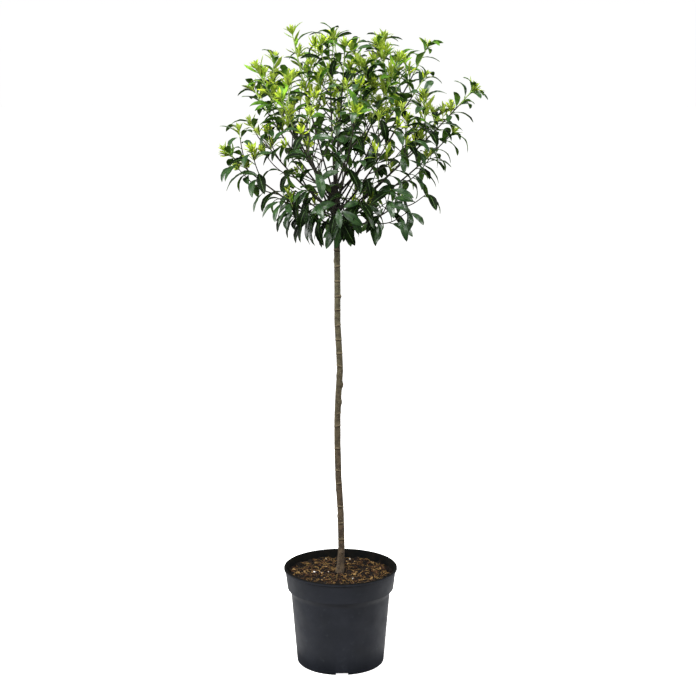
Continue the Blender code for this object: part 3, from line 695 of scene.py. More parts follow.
# %% Stem
STEM_FOOT = round(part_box("trunk")[0].z, 4)
STEM_TOP = round(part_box("trunk")[1].z, 4)
STEM_DRIFT = (
    (STEM_FOOT, -0.0014), (0.272, 0.0022), (0.351, 0.0006), (0.436, -0.0046),
    (0.521, -0.0068), (0.577, -0.0067), (0.632, -0.0044), (0.6875, -0.0007),
    (0.7425, -0.0031), (0.797, -0.0064), (0.879, -0.0063), (0.986, -0.0073),
    (1.059, -0.0083), (STEM_TOP, -0.0150),
)
STEM_SWAY = 0.0035
STEM_SWAYS_PER_METRE = 9.0
STEM_RADIUS_LOW = 0.0076
STEM_RADIUS_HIGH = 0.0066
FLARE_RADIUS = 0.0030
FLARE_HEIGHT = 0.016
HEAD_SWELL = 0.0026
HEAD_LOW = 1.006
HEAD_HIGH = 1.098
HEAD_SHARPNESS = 1.8


def stem_centre(height):
    heights, drift = zip(*STEM_DRIFT)
    sway = STEM_SWAY * math.sin((height - STEM_FOOT) * STEM_SWAYS_PER_METRE)
    return np.array((np.interp(height, heights, drift), sway, height))


def stem_radius(height):
    share = (height - STEM_FOOT) / (STEM_TOP - STEM_FOOT)
    radius = STEM_RADIUS_LOW + (STEM_RADIUS_HIGH - STEM_RADIUS_LOW) * share
    radius += FLARE_RADIUS * math.exp(-(height - STEM_FOOT) / FLARE_HEIGHT)
    head = (height - (HEAD_LOW + HEAD_HIGH) / 2) / (HEAD_HIGH - HEAD_LOW)
    return radius + HEAD_SWELL * math.exp(-(head * HEAD_SHARPNESS) ** 2)


# %% Limbs
LIMB_TIPS = {
    "left_low": (-0.258, -0.030, 1.190), "left_mid": (-0.192, 0.060, 1.225),
    "left_back": (-0.205, 0.135, 1.323), "left_high": (-0.185, -0.050, 1.371),
    "tall_left": (-0.108, 0.030, 1.447), "top_left": (-0.026, 0.090, 1.427),
    "top_mid": (0.012, -0.060, 1.421), "top_right": (0.097, 0.060, 1.436),
    "crest": (0.133, -0.080, 1.392), "spur": (0.202, 0.130, 1.414),
    "right_up": (0.192, 0.000, 1.351), "right_high": (0.296, -0.050, 1.324),
    "right_mid": (0.262, 0.060, 1.225), "right_low": (0.150, -0.070, 1.090),
    "right_back": (0.226, 0.150, 1.245), "front_left": (-0.129, -0.160, 1.312),
    "front_low": (-0.080, -0.240, 1.242), "front_mid": (0.036, -0.250, 1.287),
    "front_right": (0.125, -0.200, 1.256), "back_left": (-0.116, 0.230, 1.283),
    "back_mid": (-0.005, 0.260, 1.310), "back_right": (0.120, 0.240, 1.297),
}
LIMB_RADIUS = 0.0036
LIMB_BOWS = (0.026, 0.036, 0.016, 0.046)
LIMB_SEARCH = (0.0, 0.005, -0.005, 0.010, -0.010, 0.016, -0.016, 0.024, -0.024, -0.032)
LIMB_CLEARANCE = 0.0080
LIMB_OFFSET = 0.0045
LIMB_POINTS = 9
LIMB_SHORT = 0.030
BARE_SHARE = 0.31
BOUGH_POINTS = 5
LEADER_POINTS = 6
GAP = 0.0003
SKELETON_STEP = 0.006
FINE_STEP = 0.004


def bowed(start, end, bow, count):
    """A path that leaves start low and turns upward to end."""
    return curve(start, (start + end) / 2 - UP * bow, end, count)


def distances(points, others):
    """How far each point is from the nearest of the others."""
    return np.linalg.norm(points[:, None] - others[None], axis=2).min(axis=1)


def path_gap(first, second):
    return distances(first, second).min()


def stem_line(low):
    """Points up the middle of the stem, from that height."""
    return np.array([stem_centre(height) for height in np.arange(low, STEM_TOP, FINE_STEP)])


def dense(path, step=SKELETON_STEP):
    """Points along a path, a step apart at most."""
    made = [path[:1]]
    for low, high in zip(path, path[1:]):
        count = max(1, math.ceil(np.linalg.norm(high - low) / step))
        made.append(low + (high - low) * np.linspace(0, 1, count + 1)[1:, None])
    return np.concatenate(made)


def outside_stem(points):
    """Those of the points where a limb round them would show beyond the stem's surface."""
    away = distances(points, stem_line(HEAD_LOW))
    beside = away > STEM_RADIUS_HIGH - LIMB_RADIUS / 2
    above = points[:, 2] > STEM_TOP - LIMB_RADIUS
    return points[beside | above]


def steepness(name):
    x, y, z = LIMB_TIPS[name]
    return (z - HEAD_LOW) / math.hypot(x, y)


def limb_paths():
    """Each limb from the stem's centre to its tip: the flattest start lowest, each clear of the others."""
    outer, paths = {}, {}
    for rank, name in enumerate(sorted(LIMB_TIPS, key=steepness)):
        ranked = HEAD_LOW + (HEAD_HIGH - HEAD_LOW) * rank / (len(LIMB_TIPS) - 1)
        tip = np.array(LIMB_TIPS[name])
        best = None
        for step, bow in product(LIMB_SEARCH, LIMB_BOWS):
            height = min(max(ranked + step, HEAD_LOW), HEAD_HIGH)
            aim = unit((tip - stem_centre(height)) * (1.0, 1.0, 0.0))
            start = stem_centre(height) + aim * LIMB_OFFSET
            end = tip - LIMB_SHORT * unit((tip - start) / 2 + UP * bow)
            path = bowed(start, end, bow, LIMB_POINTS)
            points = outside_stem(dense(path, FINE_STEP))
            room = min([path_gap(points, other) for other in outer.values()], default=1.0)
            if best is None or room > best[0]:
                best = (room, path, points)
            if room > LIMB_CLEARANCE:
                break
        _, paths[name], outer[name] = best
    return paths


def split_path(path, share, gap):
    """The path up to that share of its length, and the rest after a gap."""
    steps = np.linalg.norm(np.diff(path, axis=0), axis=1)
    along = np.concatenate(([0.0], np.cumsum(steps)))
    end = share * along[-1]
    parts = []
    for low, high, count in ((0.0, end, BOUGH_POINTS), (end + gap, along[-1], LEADER_POINTS)):
        marks = np.linspace(low, high, count)
        parts.append(np.stack([np.interp(marks, along, path[:, axis]) for axis in range(3)], axis=1))
    return parts


limbs = limb_paths()
boughs, stems = {}, {}
for name, path in limbs.items():
    boughs[name], stems[name] = split_path(path, BARE_SHARE, GAP)
worst = max(
    np.abs((np.array(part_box(f"bough_{name}")[1]) - path.max(axis=0))).max() for name, path in boughs.items()
)
print(f"{len(boughs)} boughs, whose ends are within {1000 * worst:.1f} mm of their solids' furthest corners")

# %% Skirt
SKIRT_SHOOTS = 7
SKIRT_REACH = 0.100
SKIRT_RISE = 0.058
SKIRT_FOOT = 1.024
SKIRT_BOW = 0.008
SKIRT_POINTS = 5
SKIRT_TURN_DEG = 24.0
SKIRT_SEARCH_DEG = (0, 6, -6, 12, -12, 18, -18, 24, -24)
SKIRT_LIFTS = (0.0, 0.008, -0.010, 0.016)
SKIRT_CLEARANCE = 0.014
SKIRT_APART = 0.075


def skirt_path(turn, foot):
    start = stem_centre(foot)
    out = np.array((math.cos(turn), math.sin(turn), 0.0)) * SKIRT_REACH
    return bowed(start, start + out + UP * SKIRT_RISE, SKIRT_BOW, SKIRT_POINTS)


def skirt_paths():
    """Short shoots spaced evenly round the stem, each turned a little to pass clear of the limbs."""
    paths, tips = {}, []
    limb_points = outside_stem(np.concatenate([dense(path) for path in limbs.values()]))
    for k in range(SKIRT_SHOOTS):
        even = math.radians(SKIRT_TURN_DEG) + math.tau * k / SKIRT_SHOOTS
        best = None
        for lift, shift in product(SKIRT_LIFTS, SKIRT_SEARCH_DEG):
            path = skirt_path(even + math.radians(shift), SKIRT_FOOT + lift)
            room = path_gap(dense(path)[2:], limb_points)
            crowding = min((np.linalg.norm(path[-1] - tip) for tip in tips), default=1.0)
            room = min(room, crowding * SKIRT_CLEARANCE / SKIRT_APART)
            if best is None or room > best[0]:
                best = (room, path)
            if room > SKIRT_CLEARANCE:
                break
        paths[f"skirt_{k + 1}"] = best[1]
        tips.append(best[1][-1])
    return paths


stems.update(skirt_paths())
print(f"{len(stems)} leading shoots")

# %% Side shoots
SIDE_SHOOTS = 3
SIDE_FIRST = 0.50
SIDE_LAST = 0.86
SIDE_LENGTH_LOW = 0.105
SIDE_LENGTH_HIGH = 0.070
SIDE_POINTS = 4
SIDE_TRIES = 8
# How much a side shoot heads along its parent, away from it and up, and how much it bends up then
SIDE_HEADING = (0.55, 0.85, 0.30)
SIDE_CURVE_UP = 0.45
SIDE_ROOT_ZONE = 0.030
SIDE_WANDER = 0.03
SIDE_VARIES = 0.12
TWIG_CLEARANCE = 0.014
CROWN_MIDDLE = (0.012, 0.0, 1.190)
CROWN_HALF = (0.270, 0.265, 0.230)


def point_on(path, share):
    marks = np.linspace(0.0, 1.0, len(path))
    return np.array([np.interp(share, marks, path[:, axis]) for axis in range(3)])


def tangent(path, share):
    return unit(point_on(np.gradient(path, axis=0), share))


def across(direction, turn):
    """A unit vector at right angles to direction, at that turn round it from the upper side."""
    side = unit(np.cross(direction, UP) + np.array((1e-6, 0.0, 0.0)))
    over = np.cross(side, direction)
    return math.cos(turn) * over + math.sin(turn) * side


def all_but(name, groups):
    """The points of every group but that one."""
    return [points for other, points in groups.items() if other != name]


def inside_crown(point, grown=1.0):
    away = (point - np.array(CROWN_MIDDLE)) / (np.array(CROWN_HALF) * grown)
    return away @ away < 1.0


def branch(path, share, turn, length, heading, curve_up, count):
    """A shoot from that place on its parent, which heads off at that turn and then bends up."""
    start = point_on(path, share)
    ahead = tangent(path, share)
    forward, outward, upward = heading
    first = unit(forward * ahead + outward * across(ahead, turn) + upward * UP)
    end = start + length * unit(first + curve_up * UP)
    return curve(start, start + length / 2 * first, end, count)


bough_points = {name: dense(bough) for name, bough in boughs.items()}


def grow_side_shoots():
    """Adds side shoots in rounds, each turned to where the crown is emptiest."""
    shoots = {name: [path] for name, path in stems.items()}
    taken = {name: dense(path) for name, path in stems.items()}
    for round_number, (name, path) in product(range(SIDE_SHOOTS), stems.items()):
        count = 1 if name.startswith("skirt") else SIDE_SHOOTS
        if round_number >= count:
            continue
        chance = random.Random(f"{SEED} {name} side {round_number}")
        step = (SIDE_LAST - SIDE_FIRST) / max(count - 1, 1)
        whole = SIDE_FIRST + step * round_number + chance.uniform(-SIDE_WANDER, SIDE_WANDER)
        share = (whole - BARE_SHARE) / (1 - BARE_SHARE)
        length = SIDE_LENGTH_LOW + (SIDE_LENGTH_HIGH - SIDE_LENGTH_LOW) * share
        length *= chance.uniform(1 - SIDE_VARIES, 1 + SIDE_VARIES)
        first_turn = chance.uniform(0.0, math.tau)
        others = np.concatenate([*all_but(name, taken), *bough_points.values()])
        best = None
        for attempt in range(SIDE_TRIES):
            turn = first_turn + math.tau * attempt / SIDE_TRIES
            shoot = branch(path, share, turn, length, SIDE_HEADING, SIDE_CURVE_UP, SIDE_POINTS)
            if not inside_crown(shoot[-1]):
                continue
            outer = dense(shoot)[2:]
            away = np.linalg.norm(taken[name] - shoot[0], axis=1)
            gap = path_gap(outer, others)
            room = min(gap, path_gap(outer[-3:], taken[name][away > SIDE_ROOT_ZONE]))
            if gap > TWIG_CLEARANCE and (best is None or room > best[0]):
                best = (room, shoot)
        if best:
            shoots[name].append(best[1])
            taken[name] = np.concatenate((taken[name], dense(best[1])))
    return shoots, taken


shoots, taken = grow_side_shoots()
print(f"{sum(map(len, shoots.values()))} shoots, as in the solids")

# %% [markdown]
# Finer shoots. The solids leave out two sorts that the real plant has. Short inner shoots live on in the
# bare part of each limb, most of them on the sunny side, and keep older leaves, which fill the middle of the
# crown. Sprigs are this year's growth, which breaks from several buds along each shoot, more of them high up
# in the light and on the leading shoots. Both sorts follow the side shoots' rule: several turns are tried,
# and the one with the most room is kept. Limbs differ, as the photo shows, so each has its own vigour.

# %% Finer shoots
FINE_POINTS = 5
FINE_TRIES = 8
FINE_WANDER = 0.05
CROWN_GROWN = 1.02
# How far the tip of a fine shoot may lie under its root
FINE_SINKS = 0.008
# Each sort: where on its parent, how long, how it heads, how far it keeps from other shoots, and how far
# from its root its own mass counts as another
INNER = {"places": (0.40, 0.66, 0.92), "length": (0.045, 0.075), "heading": (0.60, 0.80, 0.10),
         "apart": 0.0085, "root_zone": 0.020}
SPRIG = {"places": (0.30, 0.42, 0.54, 0.66, 0.80, 0.93), "length": (0.014, 0.038),
         "heading": (0.80, 0.72, 0.40), "apart": 0.0060, "root_zone": 0.014}
# The first number is how leafy a limb is, and the second how much it grew this year
TRAITS = {
    "left_low": (1.15, 2.3), "left_mid": (0.55, 1.0), "left_back": (1.30, 1.5), "left_high": (0.85, 1.6),
    "tall_left": (0.75, 2.2), "top_left": (0.70, 0.6), "top_mid": (0.80, 0.8), "top_right": (1.60, 1.7),
    "crest": (2.00, 2.5), "spur": (1.00, 1.0), "right_up": (0.80, 0.7), "right_high": (1.60, 1.5),
    "right_mid": (1.30, 0.9), "right_low": (0.80, 0.5), "right_back": (0.42, 0.5), "front_left": (0.45, 1.2),
    "front_low": (0.50, 0.7), "front_mid": (0.62, 0.5), "front_right": (0.36, 0.5), "back_left": (0.52, 0.9),
    "back_mid": (0.66, 0.8), "back_right": (0.52, 0.8),
}
AVERAGE = (1.0, 1.0)
# The share of inner shoots that still live: on any limb of average leafiness, and more on the sunny side
INNER_ODDS = 0.50
INNER_SUNNY_ODDS = 0.75
# Where the light came from at the nursery
LIGHT_FROM = unit(np.array((-0.3, -1.0, 0.4)))
# The share of sprigs that grow, at two heights in the crown
SPRIG_HEIGHTS = (1.10, 1.32)
SPRIG_ODDS = (0.03, 0.50)
# A leading shoot has more sprigs than that, and its side shoots have fewer
SPRIG_ODDS_LEADING = 1.5
SPRIG_ODDS_SIDE = 0.5
# Nursery plants stand in rows, so they are fuller along the row, left and right, than across it
ACROSS_ROW_SHARE = 0.35
# Nothing grows on the stem below this height
LEAVES_FLOOR = 0.90


def roomiest(name, path, share, sort, chance, others):
    """The turn of a fine shoot that leaves it the most room, or None where it has too little."""
    length = chance.uniform(*sort["length"])
    first_turn = chance.uniform(0.0, math.tau)
    heading = sort["heading"]
    best = None
    for attempt in range(FINE_TRIES):
        turn = first_turn + math.tau * attempt / FINE_TRIES
        made = branch(path, share, turn, length, heading, heading[2], FINE_POINTS)
        if not inside_crown(made[-1], CROWN_GROWN) or made[-1][2] < made[0][2] - FINE_SINKS:
            continue
        away = np.linalg.norm(taken[name] - made[0], axis=1)
        own = taken[name][away > sort["root_zone"]]
        room = path_gap(made[2:], np.concatenate((others, own)))
        if room > sort["apart"] and (best is None or room > best[0]):
            best = (room, made)
    return best and best[1]


def keep_shoot(kept, name, made):
    """Adds a fine shoot to those kept, and to the places taken."""
    kept[name].append(made)
    taken[name] = np.concatenate((taken[name], dense(made)))


inner = {name: [] for name in shoots}
for name, bough in boughs.items():
    chance = random.Random(f"{SEED} {name} inner")
    others = [*all_but(name, taken), *all_but(name, bough_points), stem_line(LEAVES_FLOOR)]
    others = np.concatenate(others)
    sunny = max(0.0, unit(bough[-1] - bough[0]) @ LIGHT_FROM)
    odds = INNER_ODDS * TRAITS[name][0] + INNER_SUNNY_ODDS * sunny
    for place in INNER["places"]:
        if chance.random() > odds:
            continue
        share = place + chance.uniform(-FINE_WANDER, FINE_WANDER)
        made = roomiest(name, bough, share, INNER, chance, others)
        if made is not None:
            keep_shoot(inner, name, made)

sprigs = {name: [] for name in shoots}
for name, own in shoots.items():
    others = np.concatenate([*all_but(name, taken), *bough_points.values()])
    for number, path in enumerate(own):
        chance = random.Random(f"{SEED} {name} sprigs {number}")
        for place in SPRIG["places"]:
            share = place + chance.uniform(-FINE_WANDER, FINE_WANDER)
            x, y, height = point_on(path, share)
            odds = np.interp(height, SPRIG_HEIGHTS, SPRIG_ODDS)
            odds *= ACROSS_ROW_SHARE + (1 - ACROSS_ROW_SHARE) * (abs(x) / (abs(x) + abs(y)))
            odds *= TRAITS.get(name, AVERAGE)[1]
            odds *= SPRIG_ODDS_SIDE if number else SPRIG_ODDS_LEADING
            made = roomiest(name, path, share, SPRIG, chance, others)
            if made is not None and chance.random() < odds:
                keep_shoot(sprigs, name, made)
print(f"{sum(map(len, inner.values()))} inner shoots, {sum(map(len, sprigs.values()))} sprigs")

# %% [markdown]
# Bark. The stem of a young cherry laurel has thin smooth bark, grey green above and browner below, crossed
# by pale rings: the scars of old leaves and of side shoots that were rubbed off to keep the stem clear. Each
# scar is a low swelling with a dark crease under it. The bark is a fine grid of points round the stem's own
# centre line, pushed out and in by the scars, by knots and by noise, so that the relief shows in outline.

# %% Relief of the bark
# Heights of the leaf scars up the stem, and the turn of each one's middle: 0 faces +X, -90 the front
LEAF_SCARS = {
    0.290: -100, 0.3285: -60, 0.3675: -110, 0.422: -70, 0.453: -120, 0.505: -95, 0.558: -60,
    0.5875: -20, 0.6975: -150, 0.726: -80, 0.757: -95, 0.790: -40, 0.8245: -85, 0.855: -70,
    0.8885: -100, 0.922: -60, 0.958: -110, 0.990: -80,
}
SCAR_LIFT = 0.0008
SCAR_HALF = 0.0016
SCAR_TILT = 0.0022
CREASE_DEPTH = 0.0006
CREASE_BELOW = 0.0034
# How strong a scar is all round the stem, and how much more toward its middle
SCAR_ALL_ROUND, SCAR_FACING = 0.55, 0.45
# Knots of old side shoots: height, turn, lift and half width, and how deep each one's middle is dimpled
KNOTS = (
    (0.2602, -80, 0.0026, 0.0044), (0.6137, -25, 0.0028, 0.0060), (0.6542, -15, 0.0034, 0.0062),
    (0.676, -140, 0.0018, 0.0050), (0.8549, -5, 0.0024, 0.0034), (0.408, -150, 0.0014, 0.0040),
    (0.935, 170, 0.0020, 0.0044), (0.745, 90, 0.0018, 0.0044), (0.540, 100, 0.0020, 0.0050),
    (0.345, 160, 0.0016, 0.0044),
)
KNOT_DIMPLE = 0.35
KNOT_DIMPLE_SHARPNESS = 8
# Lift of the plates and of the pores, and how often each changes round the stem and per metre up it
PLATES = (0.00030, 1.6, 60)
PORES = (0.00022, 2.2, 620)


def scar_relief(height, turn):
    """Lift of the leaf scars there, positive on a scar and negative in its crease."""
    lift = 0.0
    for scar, middle in LEAF_SCARS.items():
        facing = math.cos(turn - math.radians(middle))
        above = height - scar - SCAR_TILT * facing
        if abs(above) > 4 * CREASE_BELOW:
            continue
        strength = SCAR_ALL_ROUND + SCAR_FACING * facing
        lift += SCAR_LIFT * strength * math.exp(-((above / SCAR_HALF) ** 2))
        lift -= CREASE_DEPTH * strength * math.exp(-(((above + CREASE_BELOW) / SCAR_HALF) ** 2))
    return lift


def knot_relief(height, turn):
    lift = 0.0
    for knot, middle, tall, half in KNOTS:
        around = (turn - math.radians(middle) + math.pi) % math.tau - math.pi
        far = ((height - knot) ** 2 + (around * STEM_RADIUS_LOW) ** 2) / half**2
        if far < 9:
            lift += tall * (math.exp(-far) - KNOT_DIMPLE * math.exp(-far * KNOT_DIMPLE_SHARPNESS))
    return lift


def grain_relief(height, turn):
    """Long shallow plates with short pores across them."""
    x, y = math.cos(turn), math.sin(turn)
    return sum(
        lift * noise.noise(Vector((x * round_it, y * round_it, height * up_it)))
        for lift, round_it, up_it in (PLATES, PORES)
    )


# %% [markdown]
# Young laurel bark. Thin cork over green tissue: grey green near the head, grey brown lower down, with
# patches of darker brown of about 9 mm, pale pores of 2 mm and a fine grain of 1.2 mm. The head under the
# leaves is painted nearly black as painted shade of the crown, and so are the limbs. Old scars are pale dry
# cork, and the crease under each is painted dark as its shadow; both have a finish of their own, dealt out
# by the relief.

# %% Bark finishes
BARK_PATCH_MM = 9.0
# The heights at which the brown of the stem's foot goes over to green, and the green to the crown's painted
# shade
BARK_GREENS = (0.35, 0.85)
BARK_DARKENS = (0.95, 1.02)

bark = Finish("young laurel bark", Roughness=0.78, Specular_IOR_Level=0.35)
height = add_node(bark.tree, "ShaderNodeSeparateXYZ", {"Vector": bark.place}).outputs["Z"]
foot_brown = bark.mottle("#3b2f23", "#5a4b39", BARK_PATCH_MM)
grey_green = bark.mottle("#453f2e", "#656047", BARK_PATCH_MM)
body = bark.between(foot_brown, grey_green, height, *BARK_GREENS)
speckled = bark.mottle(body, "#8d8570", 1.8, low=0.60, high=0.72)
# Painted shade: the head under the crown is painted nearly black
painted_crown_shade = bark.mottle("#110e09", "#241e14", 6.0)
bark.paint(bark.between(speckled, painted_crown_shade, height, *BARK_DARKENS))
bark.relief(1.2, 0.25)
SCAR_CORK = dull_finish("pale scar cork", "#6d614b", "#8a7e64", 2.0, 0.2, 0.85)
SCAR_SHADE = dull_finish("dark bark crease", "#2e261d", "#463a2c", 2.0, 0.2, 0.85)
# Painted shade: the limbs inside the crown are painted nearly black
PAINTED_SHADE_LIMB_BARK = dull_finish("limb bark in painted crown shade", "#0d0b07", "#1f1b12", 4.0, 0.2, 0.7)
BARK_SLOT, CORK_SLOT, SHADE_SLOT, LIMB_SLOT = 0, 1, 2, 3

# %% Trunk and boughs as one bark mesh
BARK_SIDES = 44
BARK_STEP = 0.0014
STEM_SUNK = 0.006
HEAD_CAP = 0.0035
HEAD_FLAT = 0.0005
BOUGH_SIDES = 14
BOUGH_STEP = 0.0022
# A limb is slimmer than its solid, which is kept stout for handling
BOUGH_RADII = (0.0028, 0.0022)
BOUGH_RADIUS_RANGE = (0.68, 1.05)
COLLAR_SWELL = 0.45
COLLAR_REACH = 0.010
BOUGH_GRAIN = 0.00022
BOUGH_GRAINS_PER_METRE = 260


def smoothed(path, count):
    """The same path as a round curve with more points, through every point of the first."""
    ends = np.concatenate((path[:1] * 2 - path[1:2], path, path[-1:] * 2 - path[-2:-1]))
    made = []
    for mark in np.linspace(0.0, len(path) - 1, count):
        k = min(int(mark), len(path) - 2)
        t = mark - k
        a, b, c, d = ends[k : k + 4]
        made.append(b + 0.5 * t * (c - a + t * (2 * a - 5 * b + 4 * c - d + t * (3 * (b - c) + d - a))))
    return np.array(made)


def path_length(path):
    return np.linalg.norm(np.diff(path, axis=0), axis=1).sum()


def add_stem(heap):
    """The stem as level rings, a little sunk in the soil, closed over its head."""
    count = round((STEM_TOP - STEM_FOOT + STEM_SUNK) / BARK_STEP)
    points, scars = [], []
    for height in np.linspace(STEM_FOOT - STEM_SUNK, STEM_TOP, count):
        middle = stem_centre(max(height, STEM_FOOT))
        middle[2] = height
        radius = stem_radius(max(height, STEM_FOOT))
        radius *= math.sqrt(min(1.0, (STEM_TOP + HEAD_FLAT - height) / HEAD_CAP))
        for turn in np.arange(BARK_SIDES) * math.tau / BARK_SIDES:
            scar = scar_relief(height, turn)
            out = radius + scar + knot_relief(height, turn) + grain_relief(height, turn)
            points.append(middle + out * np.array((math.cos(turn), math.sin(turn), 0.0)))
            scars.append(scar)
    faces = tube_faces(count, BARK_SIDES)
    slots = []
    for scar in (scars[face[0]] for face in faces):
        raised, sunk = scar > SCAR_LIFT / 2, scar < -CREASE_DEPTH / 2
        slots.append(CORK_SLOT if raised else SHADE_SLOT if sunk else BARK_SLOT)
    heap.add(points, faces, slots)


def add_bough(heap, path, stoutness):
    """One limb's bare part: round, tapering, swollen where it leaves the stem, and faintly uneven."""
    length = path_length(path)
    count = round(length / BOUGH_STEP)
    line = smoothed(path, count)
    points = []
    for k, (point, (side, across_it)) in enumerate(zip(line, ring_frames(line))):
        share = k / (count - 1)
        radius = between(BOUGH_RADII, share)
        radius *= stoutness * (1 + COLLAR_SWELL * math.exp(-share * length / COLLAR_REACH))
        for turn in (math.tau * corner / BOUGH_SIDES for corner in range(BOUGH_SIDES)):
            out = math.cos(turn) * side + math.sin(turn) * across_it
            grain = noise.noise(Vector((point + radius * out) * BOUGH_GRAINS_PER_METRE))
            points.append(point + (radius + BOUGH_GRAIN * grain) * out)
    heap.add(points, tube_faces(count, BOUGH_SIDES), LIMB_SLOT)


heap = Heap()
add_stem(heap)
chance = random.Random(f"{SEED} stoutness")
for path in boughs.values():
    add_bough(heap, path, chance.uniform(*BOUGH_RADIUS_RANGE))
limbs_mesh = heap.join("trunk_and_boughs", bark.material, SCAR_CORK, SCAR_SHADE, PAINTED_SHADE_LIMB_BARK, sharp_deg=60)
stands_for(limbs_mesh, "bark", "trunk", *[f"bough_{name}" for name in boughs])

# %% [markdown]
# Twigs. Last year's shoots are slim and dark, and this year's ends are the same lime green as their leaves,
# with skin that stays green a little further down. Each shoot is a tapering tube round a smooth curve,
# changed over from the dark finish to the green one where the green skin begins. The sprigs are young from
# end to end, and the inner shoots are all old.

# %% Young ends of the shoots
# Length of the green end of a leading shoot, at three heights in the crown
YOUNG_END_HEIGHTS = (1.08, 1.20, 1.36)
YOUNG_ENDS = (0.002, 0.012, 0.034)
YOUNG_END_RANGE = (0.35, 1.35)
# How much further down the shoot its skin is still green, at the same heights
GREEN_BELOW = (0.000, 0.012, 0.060)
# Points of the curve, radius at the root and at the tip, and how much of the green end each kind has
KINDS = {
    "leader": (34, 0.0023, 0.0010, 1.5),
    "skirt": (34, 0.0021, 0.0010, 0.5),
    "side": (18, 0.0015, 0.0009, 0.55),
    "inner": (14, 0.0013, 0.0009, 0.0),
    "sprig": (9, 0.0010, 0.0007, 9.0),
}
# A solid's shoot ends short, because its big young leaves reach on. Here the shoot goes further itself.
TIP_REACH = {"leader": 0.017, "skirt": 0.008, "side": 0.012}


class Shoot:
    """One shoot of a mass: its curve, its length, and where its young growth begins."""

    def __init__(self, path, kind, vigour, chance):
        count, radius, tip_radius, share = KINDS[kind]
        if kind in TIP_REACH:
            path = np.concatenate((path, path[-1:] + TIP_REACH[kind] * unit(path[-1:] - path[-2:-1])))
        self.kind = kind
        self.path = smoothed(path, count)
        self.tip_height = self.path[-1][2]
        self.length = path_length(self.path)
        self.radii = np.linspace(radius, tip_radius, count)
        young = np.interp(self.tip_height, YOUNG_END_HEIGHTS, YOUNG_ENDS)
        self.young = min(young * share * vigour * chance.uniform(*YOUNG_END_RANGE), self.length)
        self.young_from = 1 - self.young / self.length
        green = self.young + np.interp(self.tip_height, YOUNG_END_HEIGHTS, GREEN_BELOW)
        self.green_from = 1 - min(green / self.length, 1.0) if kind != "inner" else 1.0


masses = {}
for name, own in shoots.items():
    chance = random.Random(f"{SEED} {name} ends")
    vigour = TRAITS.get(name, AVERAGE)[1]
    masses[name] = [Shoot(own[0], "skirt" if name.startswith("skirt") else "leader", vigour, chance)]
    for kind, paths in (("side", own[1:]), ("inner", inner[name]), ("sprig", sprigs[name])):
        masses[name] += [Shoot(path, kind, vigour, chance) for path in paths]
FOLIAGE = [f"foliage_{name}" for name in masses]
print(f"{sum(map(len, masses.values()))} shoots of all sorts in {len(masses)} masses")


# %% Twig finishes and meshes
def twig_finish(name, first, second, roughness):
    """Skin of a shoot: smooth, faintly glossy, mottled over 5 mm, with a grain of 1.5 mm."""
    return two_tone(name, first, second, 5.0, 1.5, 0.12, strength=0.6, Roughness=roughness).material


OLD_TWIG = twig_finish("last year's twig", "#1d1a10", "#34321d", 0.6)
YOUNG_TWIG = twig_finish("young green twig", "#7d9445", "#9cb163", 0.42)
TWIG_SIDES = 7

old, young = Heap(), Heap()
for shoot in (shoot for own in masses.values() for shoot in own):
    change = round(shoot.green_from * (len(shoot.path) - 1))
    if change > 0:
        old.add(*swept(shoot.path[: change + 1], shoot.radii[: change + 1], TWIG_SIDES))
    if change < len(shoot.path) - 1:
        young.add(*swept(shoot.path[change:], shoot.radii[change:], TWIG_SIDES))
stands_for(old.join("older_twigs", OLD_TWIG), "bark", *FOLIAGE)
stands_for(young.join("young_twigs", YOUNG_TWIG), "foliage", *FOLIAGE)

# %% [markdown]
# Leaves. This narrow-leaved laurel has leathery lance-shaped leaves, most of them 40 to 65 mm long and 12 to
# 19 mm wide, set by the golden angle along each shoot on short stalks. They arch over, low ones hang almost
# straight down, and each is folded a little along its midrib. Young leaves are 11 to 41 mm long and stand up
# round the tip, but low side shoots, inner shoots and the skirt have stopped growing and have no such tuft.
# Mature leaves are set from the tip down, wider apart toward the root, where the oldest have dropped. Every
# leaf is kept as a few numbers first, tested for room, and turned into a mesh at the end.

# %% Room in the crown
GOLDEN_TURN = math.radians(137.5)
SPACE_MARGIN = -0.012
LIMB_MARGIN = 0.0012
JOINT_ZONE = 0.006
BOX_MARGIN = 0.002
LEAF_WIDEST = 0.45
LEAF_ROOT_SHARE = 0.30
LEAF_TEST_THICKNESS = 0.0010
MOST_SHAPES = 9000
BLADE_FACES = (
    (0, 2, 4), (0, 4, 3), (1, 4, 2), (1, 3, 4), (0, 3, 2), (1, 2, 3),
)


class Leaf(NamedTuple):
    """A leaf as its root, the line to its tip, its upper side, and its sizes."""

    root: np.ndarray
    along: np.ndarray
    face: np.ndarray
    length: float
    width: float
    arch: float
    twist: float

    def corners(self, thickness):
        """Root, tip, two edges and the ridge over the midrib: the leaf at its plainest."""
        sideways = np.cross(self.along, self.face)
        middle = self.root + self.along * self.length * LEAF_WIDEST + self.face * self.length * self.arch
        half = sideways * self.width / 2
        tip = self.root + self.along * self.length
        return np.array((self.root, tip, middle + half, middle - half, middle + self.face * thickness))

    def samples(self):
        """Points over the leaf, close enough together to tell where it lies."""
        root, tip, left, right, ridge = self.corners(0.0)
        body = [root + (ridge - root) * share for share in (0.45, 0.8)]
        body += [ridge + (tip - ridge) * share for share in (0.0, 0.5, 1.0)]
        return np.array(body + [left, right, (left + tip) / 2, (right + tip) / 2])

    def tree(self):
        """The outer part of the leaf, which is what keeps off its neighbours: the roots may meet."""
        corners = [Vector(corner) for corner in self.corners(LEAF_TEST_THICKNESS)]
        corners[0] = corners[0].lerp((corners[2] + corners[3]) / 2, LEAF_ROOT_SHARE)
        return BVHTree.FromPolygons(corners, BLADE_FACES)


